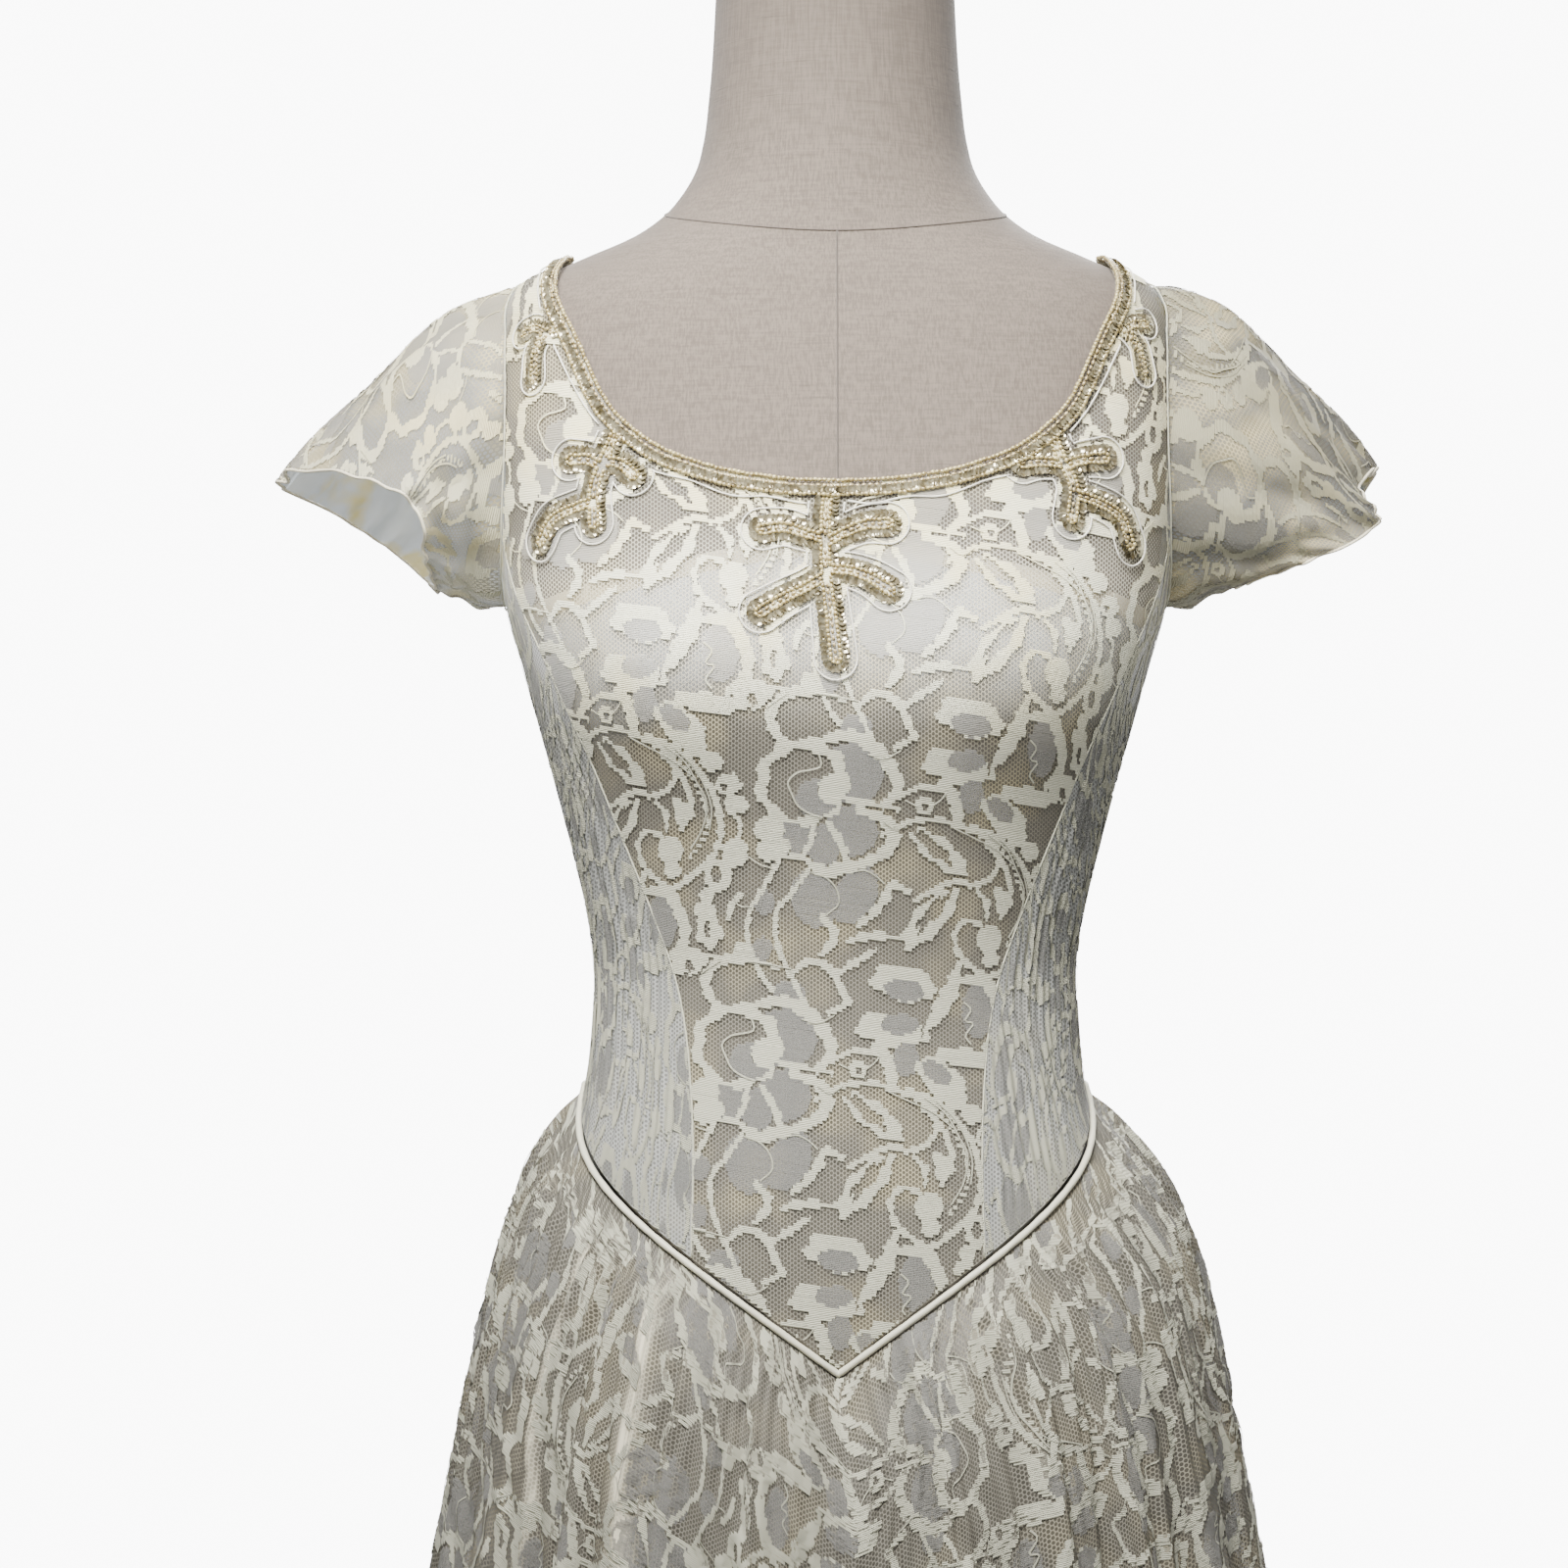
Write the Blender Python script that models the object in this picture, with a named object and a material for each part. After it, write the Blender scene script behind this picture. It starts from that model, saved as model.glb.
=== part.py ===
"""Lace wedding dress with cap sleeves, worn by a limbless dress form on a round stand.

Every piece that the dress is sewn from is one object. Lengths are metres, +Z is up, the front faces -Y,
and the origin is on the floor under the middle of the hem. Cloth that lies on the figure is worked out
on its surface, from a polar angle round the body (0 at the right side, -90 degrees at the centre front,
90 at the centre back) and a height, and then moved out along the surface's normal.
"""

import math

import bmesh
import bpy
import numpy as np
from mathutils import Vector
from mathutils.bvhtree import BVHTree

# The figure: half width to the side, depth to the front and to the back, and how square each section is.
FIGURE_COLUMNS = ("height", "half_width", "front", "back", "squareness")
FIGURE = (
    (0.785, 0.1370, 0.0920, 0.1040, 2.30),
    (0.815, 0.1450, 0.1000, 0.1120, 2.30),
    (0.860, 0.1470, 0.1040, 0.1170, 2.30),
    (0.905, 0.1450, 0.1055, 0.1180, 2.30),
    (0.950, 0.1390, 0.1035, 0.1140, 2.25),
    (0.990, 0.1300, 0.0990, 0.1060, 2.20),
    (1.029, 0.1180, 0.0935, 0.0960, 2.15),
    (1.062, 0.1140, 0.0895, 0.0900, 2.10),
    (1.090, 0.1134, 0.0890, 0.0880, 2.10),
    (1.118, 0.1176, 0.0915, 0.0890, 2.15),
    (1.147, 0.1245, 0.0960, 0.0910, 2.20),
    (1.176, 0.1320, 0.1020, 0.0940, 2.25),
    (1.205, 0.1400, 0.1070, 0.0970, 2.35),
    (1.235, 0.1485, 0.1085, 0.1000, 2.50),
    (1.262, 0.1560, 0.1060, 0.1020, 2.70),
    (1.300, 0.1590, 0.1000, 0.1040, 3.00),
    (1.330, 0.1605, 0.0945, 0.1040, 3.10),
    (1.360, 0.1615, 0.0890, 0.1020, 3.10),
    (1.390, 0.1608, 0.0830, 0.0970, 2.90),
    (1.408, 0.1580, 0.0785, 0.0930, 2.60),
    (1.418, 0.1510, 0.0760, 0.0900, 2.30),
    (1.4304, 0.1265, 0.0720, 0.0850, 2.10),
    (1.442, 0.1000, 0.0690, 0.0800, 2.00),
    (1.452, 0.0852, 0.0670, 0.0750, 2.00),
    (1.464, 0.0747, 0.0650, 0.0700, 2.00),
    (1.476, 0.0680, 0.0635, 0.0660, 2.00),
    (1.488, 0.0648, 0.0620, 0.0630, 2.00),
    (1.512, 0.0617, 0.0600, 0.0600, 2.00),
    (1.560, 0.0585, 0.0575, 0.0575, 2.00),
    (1.600, 0.0570, 0.0565, 0.0565, 2.00),
)
BUST_HEIGHT = 1.225
BUST_RISE = 0.010
BUST_ANGLE = math.radians(36)  # each side of the centre front
BUST_SPREAD = math.radians(24)
BUST_TALL = 0.050

# Layers over the figure, measured out from its skin.
CLOTH = 0.0011
SEAM_GAP = 0.0004
LINING_LIFT = 0.0016  # outer face of the satin underdress
LACE_LIFT = 0.0050  # outer face of the lace where it lies on the satin
YOKE_LIFT = 0.0034  # outer face of the lace where it lies on the bare figure
YOKE_START = 1.300
YOKE_FULL = 1.395
FORM_SLACK = 0.0016  # the dress form is this much slimmer than the figure where the satin covers it

# Seams, edges and openings of the bodice.
WAIST_SIDE = 1.029
WAIST_POINT_DROP = 0.125
WAIST_BACK_DROP = 0.020
SHOULDER_HEIGHT = 1.418
UNDERARM_HEIGHT = 1.262
ARMHOLE_FRONT = math.radians(17)
ARMHOLE_BACK = math.radians(20)
ARMHOLE_STATIONS = 20
PRINCESS_STATION = 7  # the armhole station where the princess seam starts
NECKLINE_FRONT = (  # degrees from the side, height
    (-90.0, 1.3160),
    (-72.0, 1.3178),
    (-57.0, 1.3240),
    (-44.8, 1.3370),
    (-37.5, 1.3540),
    (-30.0, 1.3850),
    (-24.0, 1.4040),
    (-17.6, 1.4190),
    (-8.0, 1.4280),
    (0.0, 1.4304),
)
NECKLINE_BACK = ((0.0, 1.4304), (12.0, 1.4270), (30.0, 1.4130), (55.0, 1.3990), (90.0, 1.3940))
PRINCESS = (  # height, degrees from the side
    (0.954, -54.6),
    (1.003, -52.4),
    (1.039, -49.0),
    (1.075, -44.5),
    (1.116, -38.0),
    (1.153, -33.5),
    (1.199, -30.0),
    (1.250, -22.5),
    (1.294, -13.75),
)
LINING_TOP_FRONT = 1.290
LINING_TOP_SIDE = 1.250
LINING_TOP_BACK = 1.262
BODICE_RADIUS = 0.110  # the body's usual radius, which turns a seam's gap into an angle
SHOULDER_GAP = 0.0016  # half of the shoulder seam's gap, as an angle

# How finely the bodice is divided.
BODICE_ROWS = 14  # from the waist to the armhole
FRONT_COLUMNS = 7  # from the centre front to the princess seam
SIDE_COLUMNS = 7
BACK_COLUMNS = 9
BACK_LEAN = 2.0  # keeps the rows under the armhole from folding over
UNDERBODICE_ROWS = 11
UNDERBODICE_FRONT_COLUMNS = 25
UNDERBODICE_BACK_COLUMNS = 10

# The skirt: how far it stands out from the waist seam at each drop below it.
HEM_HEIGHT = 0.018
SKIRT_RADIUS = 0.100  # the waist seam's usual radius, which turns a seam's gap into an angle
FLARE_BACK = 0.190  # metres out for each metre down
FLARE_FRONT = 0.209
PUFF = 0.038
PUFF_DROP = 0.032
GATHERS = 48
GATHER_DEPTH = 0.0048
GATHER_RISE = 0.008
GATHER_FADE = 0.110
FOLD_DEPTH = 0.026
FOLD_RISE = 0.360
SKIRT_ROWS = (0.0, 0.014, 0.055, 0.18, 0.50, 1.0)
LINING_ROWS = (0.0, 0.014, 0.055, 0.18, 0.50, 1.0)
LINING_HEM_RISE = 0.012  # the underskirt ends this much above the lace
LINING_SPOKES = 56
LINING_CLEARANCE = 0.0035
LINING_RISE = 0.005
LINING_WAVES = 12
LINING_WAVE_DEPTH = 0.010
LINING_INSIDE_FOLDS = 1.06  # times the deepest fold of the lace

# Cap sleeves. Each hem is a loop of points, as degrees forward from the top, out from the middle, along Y
# and height.
SLEEVE_HEM_LEFT = (
    (0, 0.2660, 0.0000, 1.3230),
    (45, 0.2390, -0.0450, 1.3270),
    (90, 0.1940, -0.0740, 1.3100),
    (135, 0.1880, -0.0560, 1.2840),
    (180, 0.1920, -0.0080, 1.2680),
    (225, 0.2060, 0.0400, 1.2720),
    (270, 0.2300, 0.0620, 1.2920),
    (315, 0.2540, 0.0450, 1.3110),
)
SLEEVE_HEM_RIGHT = (
    (0, 0.2600, 0.0100, 1.3310),
    (45, 0.2440, -0.0420, 1.3180),
    (90, 0.2500, -0.0560, 1.2990),
    (135, 0.2180, -0.0480, 1.2790),
    (180, 0.1900, -0.0080, 1.2690),
    (225, 0.2060, 0.0380, 1.2740),
    (270, 0.2320, 0.0580, 1.2930),
    (315, 0.2540, 0.0460, 1.3150),
)
SLEEVE_ROWS = (0.0, 0.13, 0.36, 0.66, 1.0)
SLEEVE_PUFF = 0.014
SLEEVE_GATHERS = 20
SLEEVE_GATHER_DEPTH = 0.0016
SLEEVE_SWELL_BELOW = 0.08  # share of the puff that is left under the arm
SLEEVE_INSET = 0.0100  # the sleeve starts this share inside the armhole
SLEEVE_STAND = 0.007  # the seam stands out from the bodice this far near the armhole

# Beaded neck band, sprigs and piping.
BAND_WIDTH = 0.0080
BAND_RISE = 0.0022
BAND_CLEAR = 0.0013
BAND_SHOULDER_CLEAR = 1.4  # times BAND_CLEAR more over the shoulder's sharp bend
BAND_SHOULDER = (1.405, 0.018)  # middle and spread of that bend, as heights
BAND_SLOPE_RADIUS = 0.120
BAND_PROFILE = ((0.02, 0.0), (1.0, 0.0), (0.90, 0.7), (0.52, 1.0), (0.12, 0.7))  # down, out
PIPING_RADIUS = 0.0015
PIPING_ROOM = 0.0023  # each side of the waist seam's line
PIPING_STATIONS = 44
PIPING_SIDES = 5
SPRIG_RISE = 0.0018
SPRIG_POINTS = 6  # to a lobe
SPRIG_CORE = 0.0060
SPRIG_LOBE_WIDTH = math.radians(15)
SPRIG_LOBE_ROUND = 2.6
# Centre of each sprig as metres across and height, how far it clears the lace's facets, and its lobes as
# degrees and reach.
SPRIGS = {
    "sprig_centre": (
        (-0.004, 1.2690, 0.0011),
        ((88, 0.0320), (152, 0.0430), (32, 0.0425), (207, 0.0390), (-15, 0.0355), (-84, 0.0460)),
    ),
    "sprig_left": (
        (-0.116, 1.3120, 0.0018),
        ((69, 0.0200), (140, 0.0190), (15, 0.0195), (232, 0.0400), (-78, 0.0250)),
    ),
    "sprig_right": (
        (0.114, 1.3120, 0.0018),
        ((115, 0.0190), (165, 0.0290), (39, 0.0210), (-50, 0.0390), (258, 0.0225)),
    ),
    "sprig_shoulder_left": ((-0.1460, 1.3740, 0.0009), ((100, 0.0120), (182, 0.0110), (265, 0.0180))),
    "sprig_shoulder_right": ((0.1460, 1.3740, 0.0009), ((80, 0.0120), (-2, 0.0120), (-84, 0.0180))),
}

# Covered buttons down the centre back.
BUTTONS = 9
BUTTON_TOP = 1.380
BUTTON_PITCH = 0.0420
BUTTON_RADIUS = 0.0055
BUTTON_HEIGHT = 0.0040
BUTTON_SIDES = 8
BUTTON_ASIDE = 0.006  # angle from the centre back, on the right-hand panel
BUTTON_PROFILE = ((0.70, 0.0), (1.0, 0.35), (0.72, 0.82))  # radius, rise

# The dress form's body and its stand.
FORM_SPOKES = 32
FORM_HEIGHTS = (
    0.785, 0.860, 0.950, 1.015, 1.055, 1.090, 1.130, 1.180, 1.222, 1.262,
    1.320, 1.370, 1.398, 1.413, 1.422, 1.4304, 1.441, 1.453, 1.470, 1.500, 1.600,
)  # fmt: skip
FORM_BOTTOM = 0.778
FORM_FOOT_SHARE = 0.93
FORM_CROWN_SHARE = 0.80
FORM_SLACK_TOP = 1.265  # the slack ends between these two heights
FORM_SLACK_END = 1.310
NECK_CROWN = 0.006
POLE_RADIUS = 0.0160
POLE_SIDES = 24
BASE_RADIUS = 0.190
BASE_HEIGHT = 0.022
BASE_BEVEL = 0.006
BASE_SIDES = 32

HALF_TURN = math.pi
QUARTER = math.pi / 2
SHARP_EDGE = math.radians(50)
RAY_START = 0.03  # rays that seat the beadwork start this far out from the figure


def through(xs, ys, x):
    """A smooth curve through the points (xs, ys), as cubic pieces whose end slopes are their neighbours'."""
    xs, ys = np.asarray(xs, float), np.asarray(ys, float)
    slopes = np.gradient(ys, xs)
    i = np.clip(np.searchsorted(xs, x) - 1, 0, len(xs) - 2)
    step = xs[i + 1] - xs[i]
    t = np.clip((x - xs[i]) / step, 0, 1)
    start = (1 + 2 * t) * (1 - t) ** 2 * ys[i] + t * (1 - t) ** 2 * step * slopes[i]
    return start + t * t * (3 - 2 * t) * ys[i + 1] + t * t * (t - 1) * step * slopes[i + 1]


def figure_column(name, height):
    table = np.array(FIGURE)
    return through(table[:, 0], table[:, FIGURE_COLUMNS.index(name)], height)


def turned_in(angle):
    """The angle brought between minus and plus a half turn."""
    return (angle + HALF_TURN) % (2 * HALF_TURN) - HALF_TURN


def figure_radius(angle, height):
    """Distance from the middle to the skin: a superellipse at each height, and the bust as two soft rises."""
    width = figure_column("half_width", height)
    depth = np.where(
        np.sin(angle) < 0, figure_column("front", height), figure_column("back", height)
    )
    power = figure_column("squareness", height)
    across = np.abs(np.cos(angle) / width) ** power
    radius = (across + np.abs(np.sin(angle) / depth) ** power) ** (-1 / power)
    tall = np.exp(-(((height - BUST_HEIGHT) / BUST_TALL) ** 2))
    for side in (-1, 1):
        off = turned_in(angle + QUARTER - side * BUST_ANGLE) / BUST_SPREAD
        radius = radius + BUST_RISE * tall * np.exp(-(off**2))
    return radius


def skin(angle, height):
    """Point of the figure at an angle and a height."""
    angle, height = np.broadcast_arrays(np.asarray(angle, float), np.asarray(height, float))
    radius = figure_radius(angle, height)
    return np.stack([radius * np.cos(angle), radius * np.sin(angle), height], axis=-1)


def skin_normal(angle, height):
    """Outward normal of the figure, as the cross product of its slopes round and up."""
    step = 1e-3
    round_it = skin(angle + step, height) - skin(angle - step, height)
    up = skin(angle, height + step) - skin(angle, height - step)
    normal = np.cross(round_it, up)
    return normal / np.linalg.norm(normal, axis=-1, keepdims=True)


def over_skin(angle, height, lift):
    """Point moved out from the figure by lift."""
    lift = np.asarray(lift, float)[..., None]
    return skin(angle, height) + skin_normal(angle, height) * lift


def lace_lift(height):
    """Outer face of the lace: on the satin low down, and close to the bare figure at the yoke."""
    share = np.clip((height - YOKE_START) / (YOKE_FULL - YOKE_START), 0, 1)
    return LACE_LIFT + (YOKE_LIFT - LACE_LIFT) * share * share * (3 - 2 * share)


def waist_seam(angle):
    """Height of the waist seam: a straight drop to a point in front, and a shallow dip behind."""
    angle = turned_in(np.asarray(angle, float))
    from_side = np.minimum(np.abs(angle), HALF_TURN - np.abs(angle)) / QUARTER
    dip = WAIST_BACK_DROP * np.sin(from_side * QUARTER) ** 2
    return WAIST_SIDE - np.where(angle < 0, WAIST_POINT_DROP * from_side, dip)


def neckline(angle):
    """Height of the neck edge round the body."""
    angle = turned_in(np.asarray(angle, float))
    side = np.degrees(np.minimum(np.abs(angle), HALF_TURN - np.abs(angle)))
    front, back = np.array(NECKLINE_FRONT), np.array(NECKLINE_BACK)
    return np.where(
        angle < 0,
        through(front[:, 0], front[:, 1], -side),
        through(back[:, 0], back[:, 1], side),
    )


def lining_top(angle):
    """Height of the satin's upper edge, highest in front."""
    angle = turned_in(np.asarray(angle, float))
    middle = np.abs(np.sin(angle)) ** 1.5
    top = np.where(angle < 0, LINING_TOP_FRONT, LINING_TOP_BACK)
    return LINING_TOP_SIDE + (top - LINING_TOP_SIDE) * middle


def armhole(station):
    """Angle and height of the right armhole, which runs forward from the shoulder, under and up the back."""
    turn = np.asarray(station, float) * 2 * HALF_TURN / ARMHOLE_STATIONS
    reach = np.where(np.sin(turn) > 0, ARMHOLE_FRONT, ARMHOLE_BACK)
    middle = (SHOULDER_HEIGHT + UNDERARM_HEIGHT) / 2
    tall = (SHOULDER_HEIGHT - UNDERARM_HEIGHT) / 2
    return np.stack([-reach * np.sin(turn), middle + tall * np.cos(turn)], axis=-1)


def patch(left, right, bottom, top, lean=1.0):
    """Grid of angles and heights between four edges, each an array of points: the Coons patch.

    With a lean above 1 each row starts out flatter at the left and climbs later.
    """
    rows, columns = len(left), len(bottom)
    v = np.linspace(0, 1, rows)[:, None, None]
    even = np.linspace(0, 1, columns)
    u = np.stack([even, even**lean], axis=-1)[None]
    ruled = left[:, None] * (1 - u) + right[:, None] * u
    low = bottom[None] - (bottom[0] * (1 - u[0]) + bottom[-1] * u[0])[None]
    high = top[None] - (top[0] * (1 - u[0]) + top[-1] * u[0])[None]
    return ruled + (1 - v) * low + v * high


def line(start, end, count):
    return np.linspace(np.asarray(start, float), np.asarray(end, float), count)


def grid_normals(points, wraps):
    """Normals of a grid of points, from its slopes along the rows and the columns."""
    if wraps:
        along = np.roll(points, -1, axis=1) - np.roll(points, 1, axis=1)
    else:
        along = np.gradient(points, axis=1)
    across = np.gradient(points, axis=0)
    normal = np.cross(along, across)
    return normal / np.maximum(np.linalg.norm(normal, axis=-1, keepdims=True), 1e-12)


def moved_in(outer, middle, wraps=False):
    """A grid moved in by the cloth's thickness, towards middle. Its seam edges stay in their own plane."""
    normal = grid_normals(outer, wraps)
    if np.sum(normal * (outer - middle)) < 0:
        normal = -normal
    if not wraps:
        for column in (0, -1):
            flat = outer[:, column] * [1, 1, 0]
            aside = np.cross(flat / np.linalg.norm(flat, axis=-1, keepdims=True), [0, 0, 1])
            edge = normal[:, column]
            edge = edge - aside * np.sum(edge * aside, axis=-1, keepdims=True)
            normal[:, column] = edge / np.linalg.norm(edge, axis=-1, keepdims=True)
    return outer - normal * CLOTH


def colour(name, rgb, roughness, metallic=0.0):
    """A plain material of the piece's colour."""
    made = bpy.data.materials.get(name)
    if made is None:
        made = bpy.data.materials.new(name)
        made.use_nodes = True
        shader = made.node_tree.nodes["Principled BSDF"]
        shader.inputs["Base Color"].default_value = (*rgb, 1.0)
        shader.inputs["Roughness"].default_value = roughness
        shader.inputs["Metallic"].default_value = metallic
    return made


def lace_colour():
    return colour("ivory_lace", (0.80, 0.78, 0.70), 0.75)


def satin_colour():
    return colour("pale_satin", (0.58, 0.55, 0.50), 0.40)


def bead_colour():
    return colour("bead_work", (0.72, 0.67, 0.50), 0.30)


def linen_colour():
    return colour("linen", (0.66, 0.61, 0.57), 0.90)


def metal_colour():
    return colour("stand_metal", (0.62, 0.61, 0.60), 0.35, 1.0)


def add_object(name, points, faces, material):
    """A closed mesh object, its faces turned outwards and shaded smooth."""
    mesh = bpy.data.meshes.new(name)
    mesh.from_pydata([tuple(map(float, p)) for p in points], [], faces)
    shape = bmesh.new()
    shape.from_mesh(mesh)
    bmesh.ops.recalc_face_normals(shape, faces=shape.faces)
    shape.to_mesh(mesh)
    shape.free()
    mesh.materials.append(material)
    mesh.shade_smooth()
    mesh.set_sharp_from_angle(angle=SHARP_EDGE)
    made = bpy.data.objects.new(name, mesh)
    bpy.context.scene.collection.objects.link(made)
    return made


def halves(points, quad):
    """The two triangles of a four-sided face, split along its shorter diagonal."""
    a, b, c, d = quad
    if np.linalg.norm(points[a] - points[c]) <= np.linalg.norm(points[b] - points[d]):
        return [a, b, c], [a, c, d]
    return [a, b, d], [b, c, d]


def wall(name, outer, material, inner, wraps=False):
    """Cloth between two grids of points, closed at its edges. Both grids are split the same way."""
    rows, columns = outer.shape[:2]
    points = np.concatenate([outer.reshape(-1, 3), inner.reshape(-1, 3)])
    count = rows * columns
    index = np.arange(count).reshape(rows, columns)
    last = columns if wraps else columns - 1
    faces = []
    for r in range(rows - 1):
        for c in range(last):
            d = (c + 1) % columns
            quad = [index[r, c], index[r, d], index[r + 1, d], index[r + 1, c]]
            for half in halves(points, quad):
                faces.append(half)
                faces.append([k + count for k in reversed(half)])
    rim = [(index[0, c], index[0, (c + 1) % columns]) for c in range(last)]
    rim += [(index[-1, (c + 1) % columns], index[-1, c]) for c in range(last)]
    if not wraps:
        rim += [(index[r + 1, 0], index[r, 0]) for r in range(rows - 1)]
        rim += [(index[r, -1], index[r + 1, -1]) for r in range(rows - 1)]
    faces += [[b, a, a + count, b + count] for a, b in rim]
    return add_object(name, points, [[int(k) for k in f] for f in faces], material)


def ring_faces(count, sides):
    """Faces of a closed tube, from its rings in order."""
    faces = []
    for i in range(count):
        j = (i + 1) % count
        for k in range(sides):
            m = (k + 1) % sides
            faces.append([i * sides + k, i * sides + m, j * sides + m, j * sides + k])
    return faces


def mirrored(grid):
    """The same angles and heights on the left side of the body."""
    return np.stack([-HALF_TURN - grid[..., 0], grid[..., 1]], axis=-1)


def seam_inset(grid_edge, towards):
    """A seam edge moved by half of the seam's gap, as an angle."""
    moved = grid_edge.copy()
    moved[:, 0] += towards * SEAM_GAP / 2 / BODICE_RADIUS
    return moved


def princess_edge(rows):
    """The princess seam from the waist up to the armhole, as angles and heights."""
    table = np.array(PRINCESS)
    junction = armhole(PRINCESS_STATION)
    foot = math.radians(table[0, 1])
    heights = np.linspace(float(waist_seam(foot)) + PIPING_ROOM, junction[1], rows)
    angles = np.radians(through(table[:, 0], table[:, 1], heights))
    angles[-1] = junction[0]
    return np.stack([angles, heights], axis=-1)


def waist_edge(start, end, count):
    """The bodice's lower edge between two angles, just above the seam."""
    angles = np.linspace(start, end, count)
    return np.stack([angles, waist_seam(angles) + PIPING_ROOM], axis=-1)


def front_neck_angles(count):
    """Angles evenly spaced along the neck edge from the centre front to the shoulder seam."""
    fine = np.linspace(-QUARTER, -SHOULDER_GAP, 400)
    edge = skin(fine, neckline(fine))
    length = np.concatenate([[0], np.cumsum(np.linalg.norm(np.diff(edge, axis=0), axis=1))])
    return np.interp(np.linspace(0, length[-1], count), length, fine)


def front_half_grid():
    """Right half of the front panel, from the centre to the princess seam, the armhole and the shoulder."""
    seam = seam_inset(princess_edge(BODICE_ROWS), -1)
    arm = armhole(np.arange(PRINCESS_STATION, -0.5, -0.5))
    arm[0] = seam[-1]
    arm[-1, 0] -= SHOULDER_GAP
    foot = float(waist_seam(-QUARTER)) + PIPING_ROOM
    low = line((-QUARTER, foot), (-QUARTER, neckline(-QUARTER)), BODICE_ROWS)
    neck_angles = front_neck_angles(len(arm))
    neck = np.stack([neck_angles, neckline(neck_angles)], axis=-1)
    left = np.concatenate([low, neck[1:]])
    right = np.concatenate([seam, arm[1:]])
    bottom = waist_edge(-QUARTER, seam[0, 0], FRONT_COLUMNS)
    top = line(left[-1], right[-1], FRONT_COLUMNS)
    return patch(left, right, bottom, top)


def build_front():
    """The front is one piece. Its two halves share the points of the middle, up to where the straps part."""
    half = front_half_grid()
    rows, columns = half.shape[:2]
    right = over_skin(half[..., 0], half[..., 1], lace_lift(half[..., 1]))
    normal = skin_normal(half[..., 0], half[..., 1])
    inner = right - normal * CLOTH
    flip = np.array([-1, 1, 1])
    layers = [right, inner, right * flip, inner * flip]
    points = np.concatenate([layer.reshape(-1, 3) for layer in layers])
    count = rows * columns
    index = np.arange(count).reshape(rows, columns)
    merged = np.arange(len(points))
    shared = index[:BODICE_ROWS, 0]
    merged[shared + 2 * count] = shared
    merged[shared + 3 * count] = shared + count
    points[shared, 0] = points[shared + count, 0] = 0.0
    faces = []
    for r in range(rows - 1):
        for c in range(columns - 1):
            quad = [index[r, c], index[r, c + 1], index[r + 1, c + 1], index[r + 1, c]]
            for half in halves(points, quad):
                for start in range(0, len(points), count):
                    faces.append([k + start for k in half])
    rim = [(index[0, c], index[0, c + 1]) for c in range(columns - 1)]
    rim += [(index[-1, c], index[-1, c + 1]) for c in range(columns - 1)]
    rim += [(index[r, -1], index[r + 1, -1]) for r in range(rows - 1)]
    rim += [(index[r, 0], index[r + 1, 0]) for r in range(BODICE_ROWS - 1, rows - 1)]
    for a, b in rim:
        for start in (0, 2 * count):
            quad = [a + start, b + start, b + start + count, a + start + count]
            faces += halves(points, quad)
    used, packed = np.unique(merged[np.array(faces)], return_inverse=True)
    return add_object("bodice_front", points[used], packed.reshape(-1, 3).tolist(), lace_colour())


def fitted_wall(name, grid, lift, material):
    """Cloth that follows the figure: both of its faces are worked out on the skin."""
    angle, height = grid[..., 0], grid[..., 1]
    return wall(name, over_skin(angle, height, lift), material, over_skin(angle, height, lift - CLOTH))


def lace_panel(name, grid):
    return fitted_wall(name, grid, lace_lift(grid[..., 1]), lace_colour())


def side_front_grid():
    """From the princess seam round to the side seam, under the armhole."""
    left = seam_inset(princess_edge(BODICE_ROWS), 1)
    side = line((0.0, WAIST_SIDE + PIPING_ROOM), (0.0, UNDERARM_HEIGHT), BODICE_ROWS)
    right = seam_inset(side, -1)
    bottom = waist_edge(left[0, 0], right[0, 0], SIDE_COLUMNS)
    under = np.linspace(PRINCESS_STATION, ARMHOLE_STATIONS / 2, SIDE_COLUMNS)
    nodes = np.arange(PRINCESS_STATION, ARMHOLE_STATIONS // 2 + 1)
    curve = armhole(nodes)
    top = np.stack([np.interp(under, nodes, curve[:, k]) for k in (0, 1)], axis=-1)
    top[0], top[-1] = left[-1], right[-1]
    return patch(left, right, bottom, top)


def back_grid():
    """From the side seam and the back of the armhole round to the centre back and the back neck."""
    side = line((0.0, WAIST_SIDE + PIPING_ROOM), (0.0, UNDERARM_HEIGHT), BODICE_ROWS)
    arm = armhole(np.arange(ARMHOLE_STATIONS // 2, ARMHOLE_STATIONS + 1))
    arm[-1, 0] += SHOULDER_GAP
    left = np.concatenate([seam_inset(side, 1), arm[1:]])
    foot = float(waist_seam(QUARTER)) + PIPING_ROOM
    centre = seam_inset(line((QUARTER, foot), (QUARTER, neckline(QUARTER)), BODICE_ROWS), -1)
    neck_angles = np.linspace(centre[-1, 0], left[-1, 0], len(arm))
    neck = np.stack([neck_angles, neckline(neck_angles)], axis=-1)
    right = np.concatenate([centre, neck[1:]])
    bottom = waist_edge(left[0, 0], right[0, 0], BACK_COLUMNS)
    top = line(left[-1], right[-1], BACK_COLUMNS)
    return patch(left, right, bottom, top, BACK_LEAN)


def build_bodice():
    build_front()
    side, back = side_front_grid(), back_grid()
    lace_panel("bodice_side_right", side)
    lace_panel("bodice_side_left", mirrored(side))
    lace_panel("bodice_back_right", back)
    lace_panel("bodice_back_left", mirrored(back))


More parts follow.
